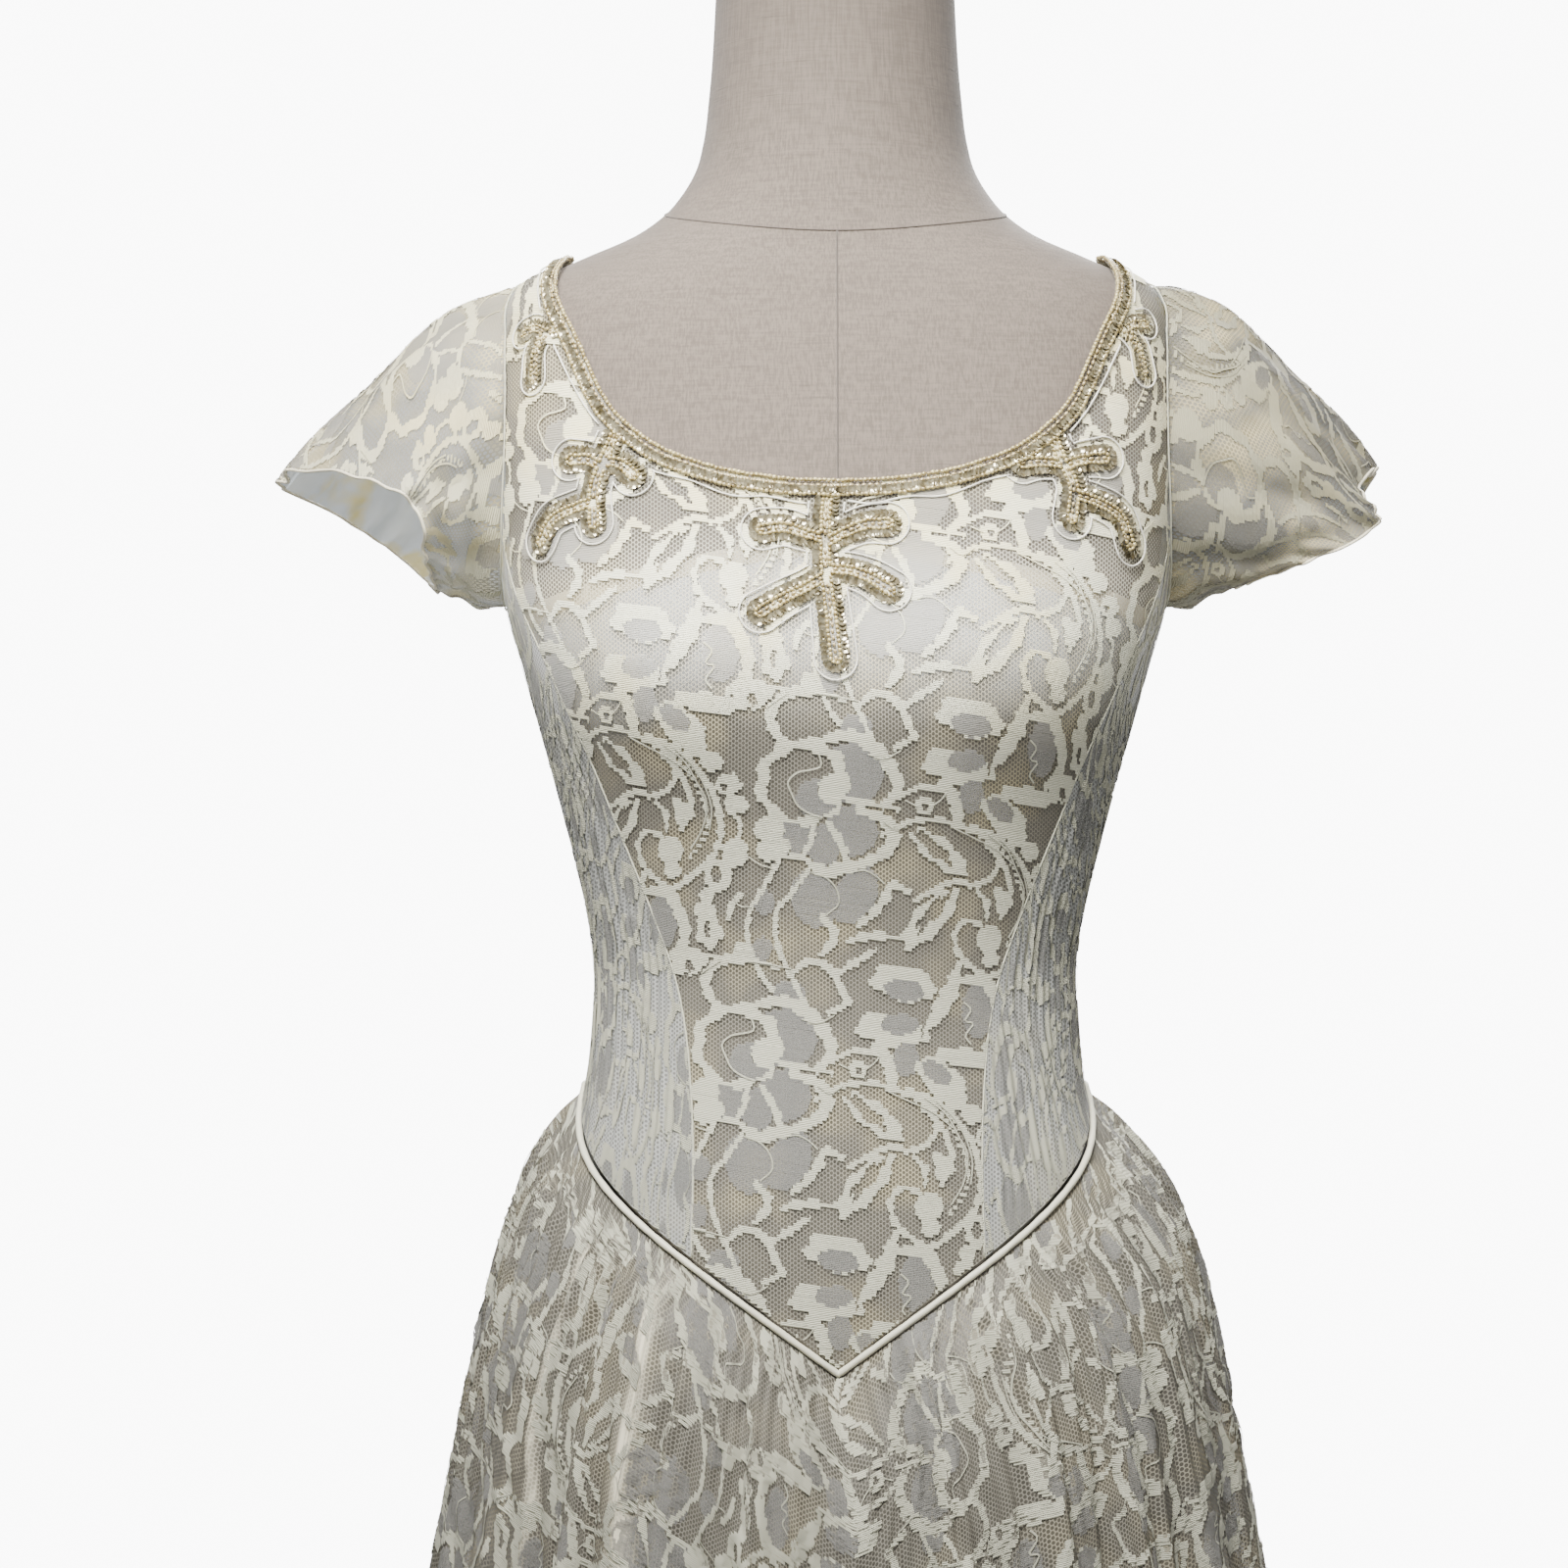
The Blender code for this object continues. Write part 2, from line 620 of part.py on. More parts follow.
def build_underbodice():
    """Satin from the waist to a straight upper edge: one front, and two backs that meet behind."""
    ends = SEAM_GAP / 2 / BODICE_RADIUS
    spans = {
        "underbodice_front": (-HALF_TURN + ends, -ends, UNDERBODICE_FRONT_COLUMNS),
        "underbodice_back_right": (ends, QUARTER - ends, UNDERBODICE_BACK_COLUMNS),
        "underbodice_back_left": (QUARTER + ends, HALF_TURN - ends, UNDERBODICE_BACK_COLUMNS),
    }
    for name, (start, end, columns) in spans.items():
        angle = np.linspace(start, end, columns)[None]
        low, high = waist_seam(angle) + SEAM_GAP / 2, lining_top(angle)
        height = low + (high - low) * np.linspace(0, 1, UNDERBODICE_ROWS)[:, None]
        grid = np.stack([angle + 0 * height, height], axis=-1)
        fitted_wall(name, grid, np.full(height.shape, LINING_LIFT), satin_colour())


def flare(angle, drop):
    """How far the skirt stands out: a quick puff under the seam, then a steady slope."""
    forward = np.maximum(-np.sin(angle), 0)
    slope = FLARE_BACK + (FLARE_FRONT - FLARE_BACK) * forward**2
    below = np.maximum(drop - PIPING_ROOM, 0)
    return slope * below + PUFF * (1 - np.exp(-below / PUFF_DROP))


def fold_depths(drop):
    """Depth of the small gathers, which fade, and of the long folds, which grow."""
    below = np.maximum(drop - PIPING_ROOM, 0)
    gather = GATHER_DEPTH * (1 - np.exp(-below / GATHER_RISE)) * np.exp(-below / GATHER_FADE)
    fold = FOLD_DEPTH * (1 - np.exp(-((drop / FOLD_RISE) ** 1.3)))
    return gather, fold


def fold_strength(angle):
    """Folds are deeper in some places round the skirt than in others."""
    return 0.86 + 0.10 * np.sin(3 * angle + 0.4) + 0.07 * np.sin(8 * angle + 1.3)


def gathered_angle(share):
    """Where each share of the gathered cloth lies round the seam. The quarters stay at the seams."""
    turn = share * 2 * HALF_TURN
    return turn + 0.035 * np.sin(4 * turn) + 0.018 * np.sin(12 * turn)


def hang(angle, drop, out):
    """Point that hangs below the waist seam and stands out from it."""
    seam = waist_seam(angle)
    radius = figure_radius(angle, seam) + out
    return np.stack([radius * np.cos(angle), radius * np.sin(angle), seam - drop], axis=-1)


def build_skirt(name, start, end, columns):
    """Lace gathered into the seam. Pairs of gathers run together into one fold lower down."""
    share = np.linspace(start, end, columns)[None]
    angle = gathered_angle(share)
    edge = np.zeros(columns)
    edge[0], edge[-1] = SEAM_GAP / 2 / SKIRT_RADIUS, -SEAM_GAP / 2 / SKIRT_RADIUS
    angle = angle + edge
    rows = np.array(SKIRT_ROWS)[:, None]
    drop = PIPING_ROOM + rows * (waist_seam(angle) - HEM_HEIGHT - PIPING_ROOM)
    gather, fold = fold_depths(drop)
    ridge = 0.5 - 0.5 * np.cos(2 * HALF_TURN * GATHERS * share)
    broad = 0.5 - 0.5 * np.cos(HALF_TURN * GATHERS * share)
    depth = (gather * ridge + fold * broad) * fold_strength(angle)
    outer = hang(angle, drop, LACE_LIFT + flare(angle, drop) - depth)
    return wall(name, outer, lace_colour(), moved_in(outer, outer * [0, 0, 1]))


def underskirt_out(angle, drop):
    """The underskirt hangs inside the deepest fold of the lace, in a few soft flutes."""
    gather, fold = fold_depths(drop)
    clear = LINING_CLEARANCE * (1 - np.exp(-drop / LINING_RISE))
    wave = LINING_WAVE_DEPTH * np.clip(drop, 0, 1) * (0.5 - 0.5 * np.cos(LINING_WAVES * angle))
    return LINING_LIFT + flare(angle, drop) - LINING_INSIDE_FOLDS * (gather + fold) - clear - wave


def build_underskirt(name, start, end):
    """One panel of the satin underskirt."""
    columns = round(LINING_SPOKES * (end - start) / (2 * HALF_TURN)) + 1
    gap = SEAM_GAP / 2 / SKIRT_RADIUS
    angle = np.linspace(start + gap, end - gap, columns)[None]
    rows = np.array(LINING_ROWS)[:, None]
    hem = HEM_HEIGHT + LINING_HEM_RISE
    drop = SEAM_GAP / 2 + rows * (waist_seam(angle) - hem - SEAM_GAP / 2)
    outer = hang(angle, drop, underskirt_out(angle, drop))
    return wall(name, outer, satin_colour(), moved_in(outer, outer * [0, 0, 1]))


def build_skirts():
    quarter = GATHERS + 1  # four columns to each of a quarter of the gathers
    build_skirt("skirt_front", -0.5, 0.0, 2 * GATHERS + 1)
    build_skirt("skirt_back_right", 0.0, 0.25, quarter)
    build_skirt("skirt_back_left", 0.25, 0.5, quarter)
    build_underskirt("underskirt_front", -HALF_TURN, 0.0)
    build_underskirt("underskirt_back_right", 0.0, QUARTER)
    build_underskirt("underskirt_back_left", QUARTER, HALF_TURN)


def sleeve_grid(hem_table, stations):
    """Right-hand cap sleeve, from the armhole out to its hem. It swells between, and its head is eased."""
    nodes = np.arange(ARMHOLE_STATIONS + 1)
    inside = armhole(nodes)
    middle = np.array([0.0, (SHOULDER_HEIGHT + UNDERARM_HEIGHT) / 2])
    inside = middle + (inside - middle) * (1 - SLEEVE_INSET)
    station = np.linspace(0, ARMHOLE_STATIONS, stations, endpoint=False)
    edge = over_skin(inside[:, 0], inside[:, 1], lace_lift(inside[:, 1]) + SEAM_GAP)
    start = np.stack([np.interp(station, nodes, edge[:, k]) for k in range(3)], axis=-1)
    hem = np.array(hem_table, float)
    looped = np.concatenate([hem[-3:] - [360, 0, 0, 0], hem, hem[:3] + [360, 0, 0, 0]])
    turn = station * 360 / ARMHOLE_STATIONS
    end = np.stack([through(looped[:, 0], looped[:, k], turn) for k in (1, 2, 3)], axis=-1)
    share = np.array(SLEEVE_ROWS)[:, None, None]
    axis = start.mean(0) * (1 - share) + end.mean(0) * share
    points = start * (1 - share) + end * share
    outward = points - axis
    outward /= np.linalg.norm(outward, axis=-1, keepdims=True)
    head = (0.5 + 0.5 * np.cos(np.radians(turn)))[None, :, None]
    puff = SLEEVE_PUFF * (SLEEVE_SWELL_BELOW + (1 - SLEEVE_SWELL_BELOW) * head)
    swell = puff * np.sin(HALF_TURN * share**0.7)
    gathers = 0.5 - 0.5 * np.cos(2 * HALF_TURN * SLEEVE_GATHERS * station / ARMHOLE_STATIONS)
    eased = SLEEVE_GATHER_DEPTH * head * gathers[None, :, None] * np.sin(HALF_TURN * share**0.5)
    points = points + outward * (swell - eased)
    points[..., 0] += SLEEVE_STAND * np.sin(QUARTER * np.minimum(share[..., 0] * 4, 1))
    return points, axis


def build_sleeves():
    stations = 2 * ARMHOLE_STATIONS
    for name, hem, side in (
        ("sleeve_right", SLEEVE_HEM_RIGHT, 1),
        ("sleeve_left", SLEEVE_HEM_LEFT, -1),
    ):
        points, axis = sleeve_grid(hem, stations)
        flip = np.array([side, 1, 1])
        inner = moved_in(points, axis, wraps=True)
        wall(name, points * flip, lace_colour(), inner * flip, wraps=True)


def worn_cloth(names):
    """The faces of some finished pieces, to be met by rays."""
    points, faces = [], []
    for name in names:
        mesh = bpy.data.objects[name].data
        faces += [[k + len(points) for k in face.vertices] for face in mesh.polygons]
        points += [vertex.co.copy() for vertex in mesh.vertices]
    return BVHTree.FromPolygons(points, faces)


def on_cloth(cloth, angle, height, lift):
    """Points on the pieces' outer faces, met along the figure's normals, and moved out by lift."""
    angle, height = np.broadcast_arrays(np.asarray(angle, float), np.asarray(height, float))
    start, normal = over_skin(angle, height, RAY_START), skin_normal(angle, height)
    found = []
    for origin, way in zip(start.reshape(-1, 3), normal.reshape(-1, 3)):
        hit = cloth.ray_cast(Vector(origin), Vector(-way), 2 * RAY_START)
        missed = origin - way * (RAY_START - LACE_LIFT)
        found.append(missed if hit[0] is None else np.array(hit[0]))
    return np.array(found).reshape(start.shape) + normal * np.asarray(lift, float)[..., None]


def build_neck_band(cloth):
    """Beaded band on the lace along the neck edge, all the way round, with a rounded top."""
    front = front_neck_angles(2 * PRINCESS_STATION + 1)
    back = np.linspace(SHOULDER_GAP, QUARTER, ARMHOLE_STATIONS // 2 + 1)
    half = np.concatenate([front, back])
    angle = np.concatenate([half, (-HALF_TURN - half[1:-1])[::-1]])
    edge = neckline(angle)
    step = 0.002
    nearby = np.linalg.norm(skin(angle, edge - step) - skin(angle, edge), axis=-1)
    rise = neckline(angle + step) - neckline(angle - step)
    slope = rise / (2 * step * BAND_SLOPE_RADIUS)
    down = BAND_WIDTH * step / nearby * np.sqrt(1 + np.minimum(slope**2, 1.0))
    bend = np.exp(-(((edge - BAND_SHOULDER[0]) / BAND_SHOULDER[1]) ** 2))
    clear = BAND_CLEAR * (1 + BAND_SHOULDER_CLEAR * bend)
    rings = [
        on_cloth(cloth, angle, edge - down * share, clear + out * BAND_RISE)
        for share, out in BAND_PROFILE
    ]
    points = np.stack(rings, axis=1).reshape(-1, 3)
    return add_object("neck_band", points, ring_faces(len(angle), len(BAND_PROFILE)), bead_colour())


def build_piping():
    """Satin cord sewn into the waist seam, with a sharp turn at the point."""
    angle = np.linspace(-QUARTER, 3 * QUARTER, PIPING_STATIONS, endpoint=False)
    height = waist_seam(angle)
    radius = figure_radius(angle, height) + LACE_LIFT - CLOTH / 2
    path = np.stack([radius * np.cos(angle), radius * np.sin(angle), height], axis=-1)
    level = np.stack([np.cos(angle), np.sin(angle), 0 * angle], axis=-1)
    ahead = np.roll(path, -1, axis=0) - np.roll(path, 1, axis=0)
    across = np.cross(level, ahead / np.linalg.norm(ahead, axis=1, keepdims=True))
    across /= np.linalg.norm(across, axis=1, keepdims=True)
    turns = np.arange(PIPING_SIDES) * 2 * HALF_TURN / PIPING_SIDES
    rings = [
        path + PIPING_RADIUS * (math.cos(t) * level + math.sin(t) * across) for t in turns
    ]
    points = np.stack(rings, axis=1).reshape(-1, 3)
    return add_object("waist_piping", points, ring_faces(len(path), PIPING_SIDES), satin_colour())


def sprig_outline(lobes, turn):
    """Reach of a sprig at each turn: a core, and a rounded lobe in each named direction."""
    reach = np.full(turn.shape, SPRIG_CORE)
    for degrees, length in lobes:
        off = np.abs(turned_in(turn - math.radians(degrees))) / SPRIG_LOBE_WIDTH
        reach = reach + (length - SPRIG_CORE) * np.exp(-(off**SPRIG_LOBE_ROUND))
    return reach


def sprig_stations(lobes):
    """Turns round a sprig, closer together where its outline reaches out."""
    fine = np.linspace(0, 2 * HALF_TURN, 720)
    reach = sprig_outline(lobes, fine)
    edge = np.stack([reach * np.cos(fine), reach * np.sin(fine)], axis=-1)
    length = np.concatenate([[0], np.cumsum(np.linalg.norm(np.diff(edge, axis=0), axis=1))])
    wanted = np.linspace(0, length[-1], SPRIG_POINTS * len(lobes), endpoint=False)
    return np.interp(wanted, length, fine)


def build_sprig(name, centre, lobes, cloth):
    """A raised sprig of beadwork that lies on the front's lace."""
    across, height, clear = centre
    angle = -QUARTER
    for _ in range(12):
        radius = float(figure_radius(np.array(angle), np.array(height)))
        angle = -math.acos(max(-1, min(1, across / radius)))
    turn = sprig_stations(lobes)
    reach = sprig_outline(lobes, turn)
    rings = []
    for share, lift in ((0.5, 0.0), (1.0, 0.0), (1.0, 0.6), (0.5, 1.0)):
        aside, up = reach * share * np.cos(turn), reach * share * np.sin(turn)
        rings.append((aside, up, clear + lift * SPRIG_RISE))
    slope = np.linalg.norm(skin(angle + 1e-3, height) - skin(angle - 1e-3, height)) / 2e-3
    rise = np.linalg.norm(skin(angle, height + 1e-3) - skin(angle, height - 1e-3)) / 2e-3
    points = []
    for aside, up, lift in rings:
        a, h = angle + aside / slope, height + up / rise
        points.append(on_cloth(cloth, a, h, np.full(a.shape, lift)))
    low = on_cloth(cloth, angle, height, clear)
    high = on_cloth(cloth, angle, height, clear + SPRIG_RISE)
    points = np.concatenate([*points, low[None], high[None]])
    count = len(turn)
    faces = []
    for i in range(count):
        j = (i + 1) % count
        faces.append([i, j, 4 * count])
        faces.append([3 * count + j, 3 * count + i, 4 * count + 1])
        for ring in range(3):
            faces.append([ring * count + i, (ring + 1) * count + i, (ring + 1) * count + j, ring * count + j])
    return add_object(name, points, faces, bead_colour())


def build_beadwork():
    panels = [name for name in bpy.data.objects.keys() if name.startswith("bodice_")]
    cloth = worn_cloth(panels)
    build_neck_band(cloth)
    for name, (centre, lobes) in SPRIGS.items():
        build_sprig(name, centre, lobes, cloth)


def build_buttons():
    """Satin-covered buttons on the centre back, each a low dome."""
    cloth = worn_cloth(["bodice_back_right"])
    turns = np.arange(BUTTON_SIDES) * 2 * HALF_TURN / BUTTON_SIDES
    for number in range(BUTTONS):
        height = BUTTON_TOP - number * BUTTON_PITCH
        normal = skin_normal(np.array(QUARTER), np.array(height))
        base = on_cloth(cloth, QUARTER - BUTTON_ASIDE, height, 2 * SEAM_GAP) * [0, 1, 1]
        side = np.array([1.0, 0.0, 0.0])
        up = np.cross(normal, side)
        points = [base]
        for radius, rise in BUTTON_PROFILE:
            ring = np.cos(turns)[:, None] * side + np.sin(turns)[:, None] * up
            points += list(base + ring * radius * BUTTON_RADIUS + normal * rise * BUTTON_HEIGHT)
        points.append(base + normal * BUTTON_HEIGHT)
        faces = []
        for i in range(BUTTON_SIDES):
            j = (i + 1) % BUTTON_SIDES
            faces.append([0, 1 + j, 1 + i])
            for ring in (0, 1):
                a = 1 + ring * BUTTON_SIDES
                faces.append([a + i, a + j, a + BUTTON_SIDES + j, a + BUTTON_SIDES + i])
            top = 1 + 2 * BUTTON_SIDES
            faces.append([top + i, top + j, len(points) - 1])
        add_object(f"button_{number + 1}", points, faces, satin_colour())


def build_form():
    """The stuffed torso and neck of the dress form, closed below and at the neck."""
    angle = (np.arange(FORM_SPOKES) + 0.5) * 2 * HALF_TURN / FORM_SPOKES
    rings = []
    for height in FORM_HEIGHTS:
        share = np.clip((height - FORM_SLACK_TOP) / (FORM_SLACK_END - FORM_SLACK_TOP), 0, 1)
        slack = -FORM_SLACK * (1 - share * share * (3 - 2 * share))
        rings.append(over_skin(angle, height, np.full(angle.shape, slack)))
    foot = rings[0] * [FORM_FOOT_SHARE, FORM_FOOT_SHARE, 0] + [0, 0, FORM_BOTTOM]
    crown = rings[-1] * [FORM_CROWN_SHARE, FORM_CROWN_SHARE, 1] + [0, 0, 0.6 * NECK_CROWN]
    rings = [foot, *rings, crown]
    points = np.concatenate(rings)
    low, high = len(points), len(points) + 1
    ends = [[0, 0, FORM_BOTTOM], [0, 0, FORM_HEIGHTS[-1] + NECK_CROWN]]
    points = np.concatenate([points, ends])
    faces = []
    last = (len(rings) - 1) * FORM_SPOKES
    for i in range(FORM_SPOKES):
        j = (i + 1) % FORM_SPOKES
        faces.append([low, j, i])
        faces.append([high, last + i, last + j])
        for ring in range(len(rings) - 1):
            a = ring * FORM_SPOKES
            faces.append([a + i, a + j, a + FORM_SPOKES + j, a + FORM_SPOKES + i])
    return add_object("form_torso", points, faces, linen_colour())


def build_turned(name, profile, sides):
    """A turned solid, from its radius and height at each step of its profile."""
    turns = np.arange(sides) * 2 * HALF_TURN / sides
    points = [(0, 0, profile[0][1])]
    for radius, height in profile:
        points += [(radius * math.cos(t), radius * math.sin(t), height) for t in turns]
    points.append((0, 0, profile[-1][1]))
    faces = []
    last = 1 + (len(profile) - 1) * sides
    for i in range(sides):
        j = (i + 1) % sides
        faces.append([0, 1 + j, 1 + i])
        faces.append([len(points) - 1, last + i, last + j])
        for ring in range(len(profile) - 1):
            a = 1 + ring * sides
            faces.append([a + i, a + j, a + sides + j, a + sides + i])
    return add_object(name, points, faces, metal_colour())


def build_stand():
    """A round weighted base and the pole that carries the form."""
    edge = BASE_RADIUS - BASE_BEVEL
    base = (
        (BASE_RADIUS, 0.0),
        (BASE_RADIUS, BASE_HEIGHT - BASE_BEVEL),
        (edge, BASE_HEIGHT),
    )
    build_turned("stand_base", base, BASE_SIDES)
    low, high = BASE_HEIGHT + SEAM_GAP, FORM_BOTTOM - SEAM_GAP
    build_turned("stand_pole", ((POLE_RADIUS, low), (POLE_RADIUS, high)), POLE_SIDES)


def main():
    for old in list(bpy.data.objects):
        bpy.data.objects.remove(old)
    build_form()
    build_stand()
    build_underbodice()
    build_bodice()
    build_sleeves()
    build_skirts()
    build_beadwork()
    build_piping()
    build_buttons()


main()
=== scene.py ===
"""Lace wedding dress on a limbless dress form, built round the packed model.

Every cloth is a thin surface worked out on the same figure as the solids: a polar angle round the body (0 at
the right side, -90 degrees at the centre front, 90 at the centre back) and a height, moved out along the
surface's normal. The lace is a net with a see-through mesh, and on it lie the rows of thread that fill its
flowers, as narrow strips. Lengths are metres, +Z is up and the front faces -Y.
"""

import math

import bmesh
import bpy
import numpy as np
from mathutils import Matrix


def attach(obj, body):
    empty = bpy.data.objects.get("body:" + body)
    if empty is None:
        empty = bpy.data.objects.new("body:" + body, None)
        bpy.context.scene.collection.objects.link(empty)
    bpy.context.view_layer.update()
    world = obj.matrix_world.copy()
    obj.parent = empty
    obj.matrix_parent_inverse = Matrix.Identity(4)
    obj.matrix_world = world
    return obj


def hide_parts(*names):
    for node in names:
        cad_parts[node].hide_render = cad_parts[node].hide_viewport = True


bl_info = {
    "name": "Lace wedding dress",
    "version": (1, 0, 0),
    "blender": (4, 5, 0),
    "location": "View3D > Sidebar > Dress",
    "description": "Builds a lace wedding dress on its dress form, piece by piece",
    "category": "Add Mesh",
}

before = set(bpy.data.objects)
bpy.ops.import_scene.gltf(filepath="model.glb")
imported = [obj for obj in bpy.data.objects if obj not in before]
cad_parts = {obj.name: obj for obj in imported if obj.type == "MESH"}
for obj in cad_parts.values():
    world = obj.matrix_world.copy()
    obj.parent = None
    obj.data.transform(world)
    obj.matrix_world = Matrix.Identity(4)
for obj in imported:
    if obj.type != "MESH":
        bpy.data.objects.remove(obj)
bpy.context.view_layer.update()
HALF_TURN = math.pi
QUARTER = math.pi / 2

# The figure: height, half width to the side, depth to the front and to the back, squareness of the section.
FIGURE = np.array(
    [
        (0.785, 0.1370, 0.0920, 0.1040, 2.30),
        (0.815, 0.1450, 0.1000, 0.1120, 2.30),
        (0.860, 0.1470, 0.1040, 0.1170, 2.30),
        (0.905, 0.1450, 0.1055, 0.1180, 2.30),
        (0.950, 0.1390, 0.1035, 0.1140, 2.25),
        (0.990, 0.1300, 0.0990, 0.1060, 2.20),
        (1.029, 0.1180, 0.0935, 0.0960, 2.15),
        (1.062, 0.1140, 0.0895, 0.0900, 2.10),
        (1.090, 0.1134, 0.0890, 0.0880, 2.10),
        (1.118, 0.1176, 0.0915, 0.0890, 2.15),
        (1.147, 0.1245, 0.0960, 0.0910, 2.20),
        (1.176, 0.1320, 0.1020, 0.0940, 2.25),
        (1.205, 0.1400, 0.1070, 0.0970, 2.35),
        (1.235, 0.1485, 0.1085, 0.1000, 2.50),
        (1.262, 0.1560, 0.1060, 0.1020, 2.70),
        (1.300, 0.1590, 0.1000, 0.1040, 3.00),
        (1.330, 0.1605, 0.0945, 0.1040, 3.10),
        (1.360, 0.1615, 0.0890, 0.1020, 3.10),
        (1.390, 0.1608, 0.0830, 0.0970, 2.90),
        (1.408, 0.1580, 0.0785, 0.0930, 2.60),
        (1.418, 0.1510, 0.0760, 0.0900, 2.30),
        (1.4304, 0.1265, 0.0720, 0.0850, 2.10),
        (1.442, 0.1000, 0.0690, 0.0800, 2.00),
        (1.452, 0.0852, 0.0670, 0.0750, 2.00),
        (1.464, 0.0747, 0.0650, 0.0700, 2.00),
        (1.476, 0.0680, 0.0635, 0.0660, 2.00),
        (1.488, 0.0648, 0.0620, 0.0630, 2.00),
        (1.512, 0.0617, 0.0600, 0.0600, 2.00),
        (1.560, 0.0585, 0.0575, 0.0575, 2.00),
        (1.600, 0.0570, 0.0565, 0.0565, 2.00),
    ]
)
BUST_HEIGHT, BUST_RISE, BUST_TALL = 1.225, 0.010, 0.050
PUCKER_DEPTH = 0.0006
BUST_ANGLE, BUST_SPREAD = math.radians(36), math.radians(24)

# Layers over the figure.
SATIN_LIFT = 0.0016
LACE_LIFT, YOKE_LIFT, YOKE_START, YOKE_FULL = 0.0050, 0.0034, 1.300, 1.395
NET_SINK = 0.0010  # the net lies this far inside the lace solid's outer face
THREAD_LIFT = 0.0005  # the thread lies this far over the net
FORM_SLACK, FORM_SLACK_TOP, FORM_SLACK_END = 0.0016, 1.265, 1.310
FORM_BOTTOM, NECK_TOP, NECK_CROWN = 0.778, 1.600, 0.006

# Seams, edges and openings of the bodice.
WAIST_SIDE, WAIST_POINT_DROP, WAIST_BACK_DROP = 1.029, 0.125, 0.020
SHOULDER_HEIGHT, UNDERARM_HEIGHT = 1.418, 1.262
ARMHOLE_FRONT, ARMHOLE_BACK = math.radians(17), math.radians(20)
ARMHOLE_STATIONS, PRINCESS_STATION = 20, 7
NECKLINE_FRONT = np.array(
    [
        (-90.0, 1.3160),
        (-72.0, 1.3178),
        (-57.0, 1.3240),
        (-44.8, 1.3370),
        (-37.5, 1.3540),
        (-30.0, 1.3850),
        (-24.0, 1.4040),
        (-17.6, 1.4190),
        (-8.0, 1.4280),
        (0.0, 1.4304),
    ]
)
NECKLINE_BACK = np.array([(0.0, 1.4304), (12.0, 1.4270), (30.0, 1.4130), (55.0, 1.3990), (90.0, 1.3940)])
PRINCESS = np.array(
    [
        (0.954, -54.6),
        (1.003, -52.4),
        (1.039, -49.0),
        (1.075, -44.5),
        (1.116, -38.0),
        (1.153, -33.5),
        (1.199, -30.0),
        (1.250, -22.5),
        (1.294, -13.75),
    ]
)
LINING_TOP_FRONT, LINING_TOP_SIDE, LINING_TOP_BACK = 1.290, 1.250, 1.262
PIPING_ROOM, PIPING_RADIUS = 0.0023, 0.0015
SHOULDER_GAP = 0.0016

# The skirt.
HEM_HEIGHT = 0.018
FLARE_BACK, FLARE_FRONT, PUFF, PUFF_DROP = 0.190, 0.209, 0.038, 0.032
GATHERS, GATHER_DEPTH, GATHER_RISE, GATHER_FADE = 48, 0.0048, 0.008, 0.110
FOLD_DEPTH, FOLD_RISE = 0.026, 0.360
SKIRT_LEAN = 0.0062  # the skirt hangs a little to the viewer's right
LINING_CLEARANCE, LINING_RISE, LINING_WAVES, LINING_WAVE_DEPTH = 0.0035, 0.005, 12, 0.010
LINING_INSIDE_FOLDS, LINING_HEM_RISE = 1.06, 0.012
# Creases, listed one by one: share of the way round, half width as a share, height, drop where it starts and ends.
CREASES = (
    (-0.347, 0.0050, 0.0050, 0.000, 0.60),
    (-0.334, 0.0028, -0.0040, 0.010, 0.45),
    (-0.405, 0.0040, 0.0040, 0.000, 0.50),
    (-0.386, 0.0030, -0.0030, 0.015, 0.40),
    (-0.168, 0.0042, 0.0036, 0.000, 0.55),
    (-0.143, 0.0030, -0.0034, 0.005, 0.35),
    (-0.105, 0.0036, 0.0040, 0.000, 0.45),
    (-0.208, 0.0030, -0.0026, 0.020, 0.30),
    (-0.300, 0.0028, -0.0026, 0.020, 0.30),
)

# Cap sleeves: degrees forward from the top, out from the middle, along Y, height.
SLEEVE_HEMS = {
    "left": (
        (0, 0.2660, 0.0000, 1.3230),
        (45, 0.2390, -0.0450, 1.3270),
        (90, 0.1940, -0.0740, 1.3100),
        (135, 0.1880, -0.0560, 1.2840),
        (180, 0.1880, -0.0080, 1.2710),
        (225, 0.1960, 0.0400, 1.2770),
        (270, 0.2170, 0.0620, 1.2945),
        (315, 0.2450, 0.0450, 1.3125),
    ),
    "right": (
        (0, 0.2600, 0.0100, 1.3310),
        (45, 0.2440, -0.0420, 1.3180),
        (90, 0.2500, -0.0560, 1.2990),
        (135, 0.2180, -0.0480, 1.2820),
        (180, 0.1900, -0.0080, 1.2730),
        (225, 0.2040, 0.0380, 1.2780),
        (270, 0.2320, 0.0580, 1.2930),
        (315, 0.2540, 0.0460, 1.3150),
    ),
}
SLEEVE_PUFF, SLEEVE_SWELL_BELOW, SLEEVE_INSET, SLEEVE_STAND = 0.014, 0.08, 0.0100, 0.007
SLEEVE_GATHERS, SLEEVE_GATHER_DEPTH = 20, 0.0016

# The lace's repeat, in cells and rows of thread: how far it moves to meet itself.
CELL, ROW = 0.00115, 0.0017125
STEP_DOWN = (-28, -82)
STEP_ASIDE = (139, -14)
ROW_SLOPE = -0.14
OPEN, HALF, FULL = 0, 1, 2

# Photograph's view: one pixel of 1600 is this much at the figure's middle.
VIEW_WIDTH, VIEW_ASIDE, VIEW_HEIGHT, VIEW_AWAY = 0.768, -0.025, 1.176, 1.85


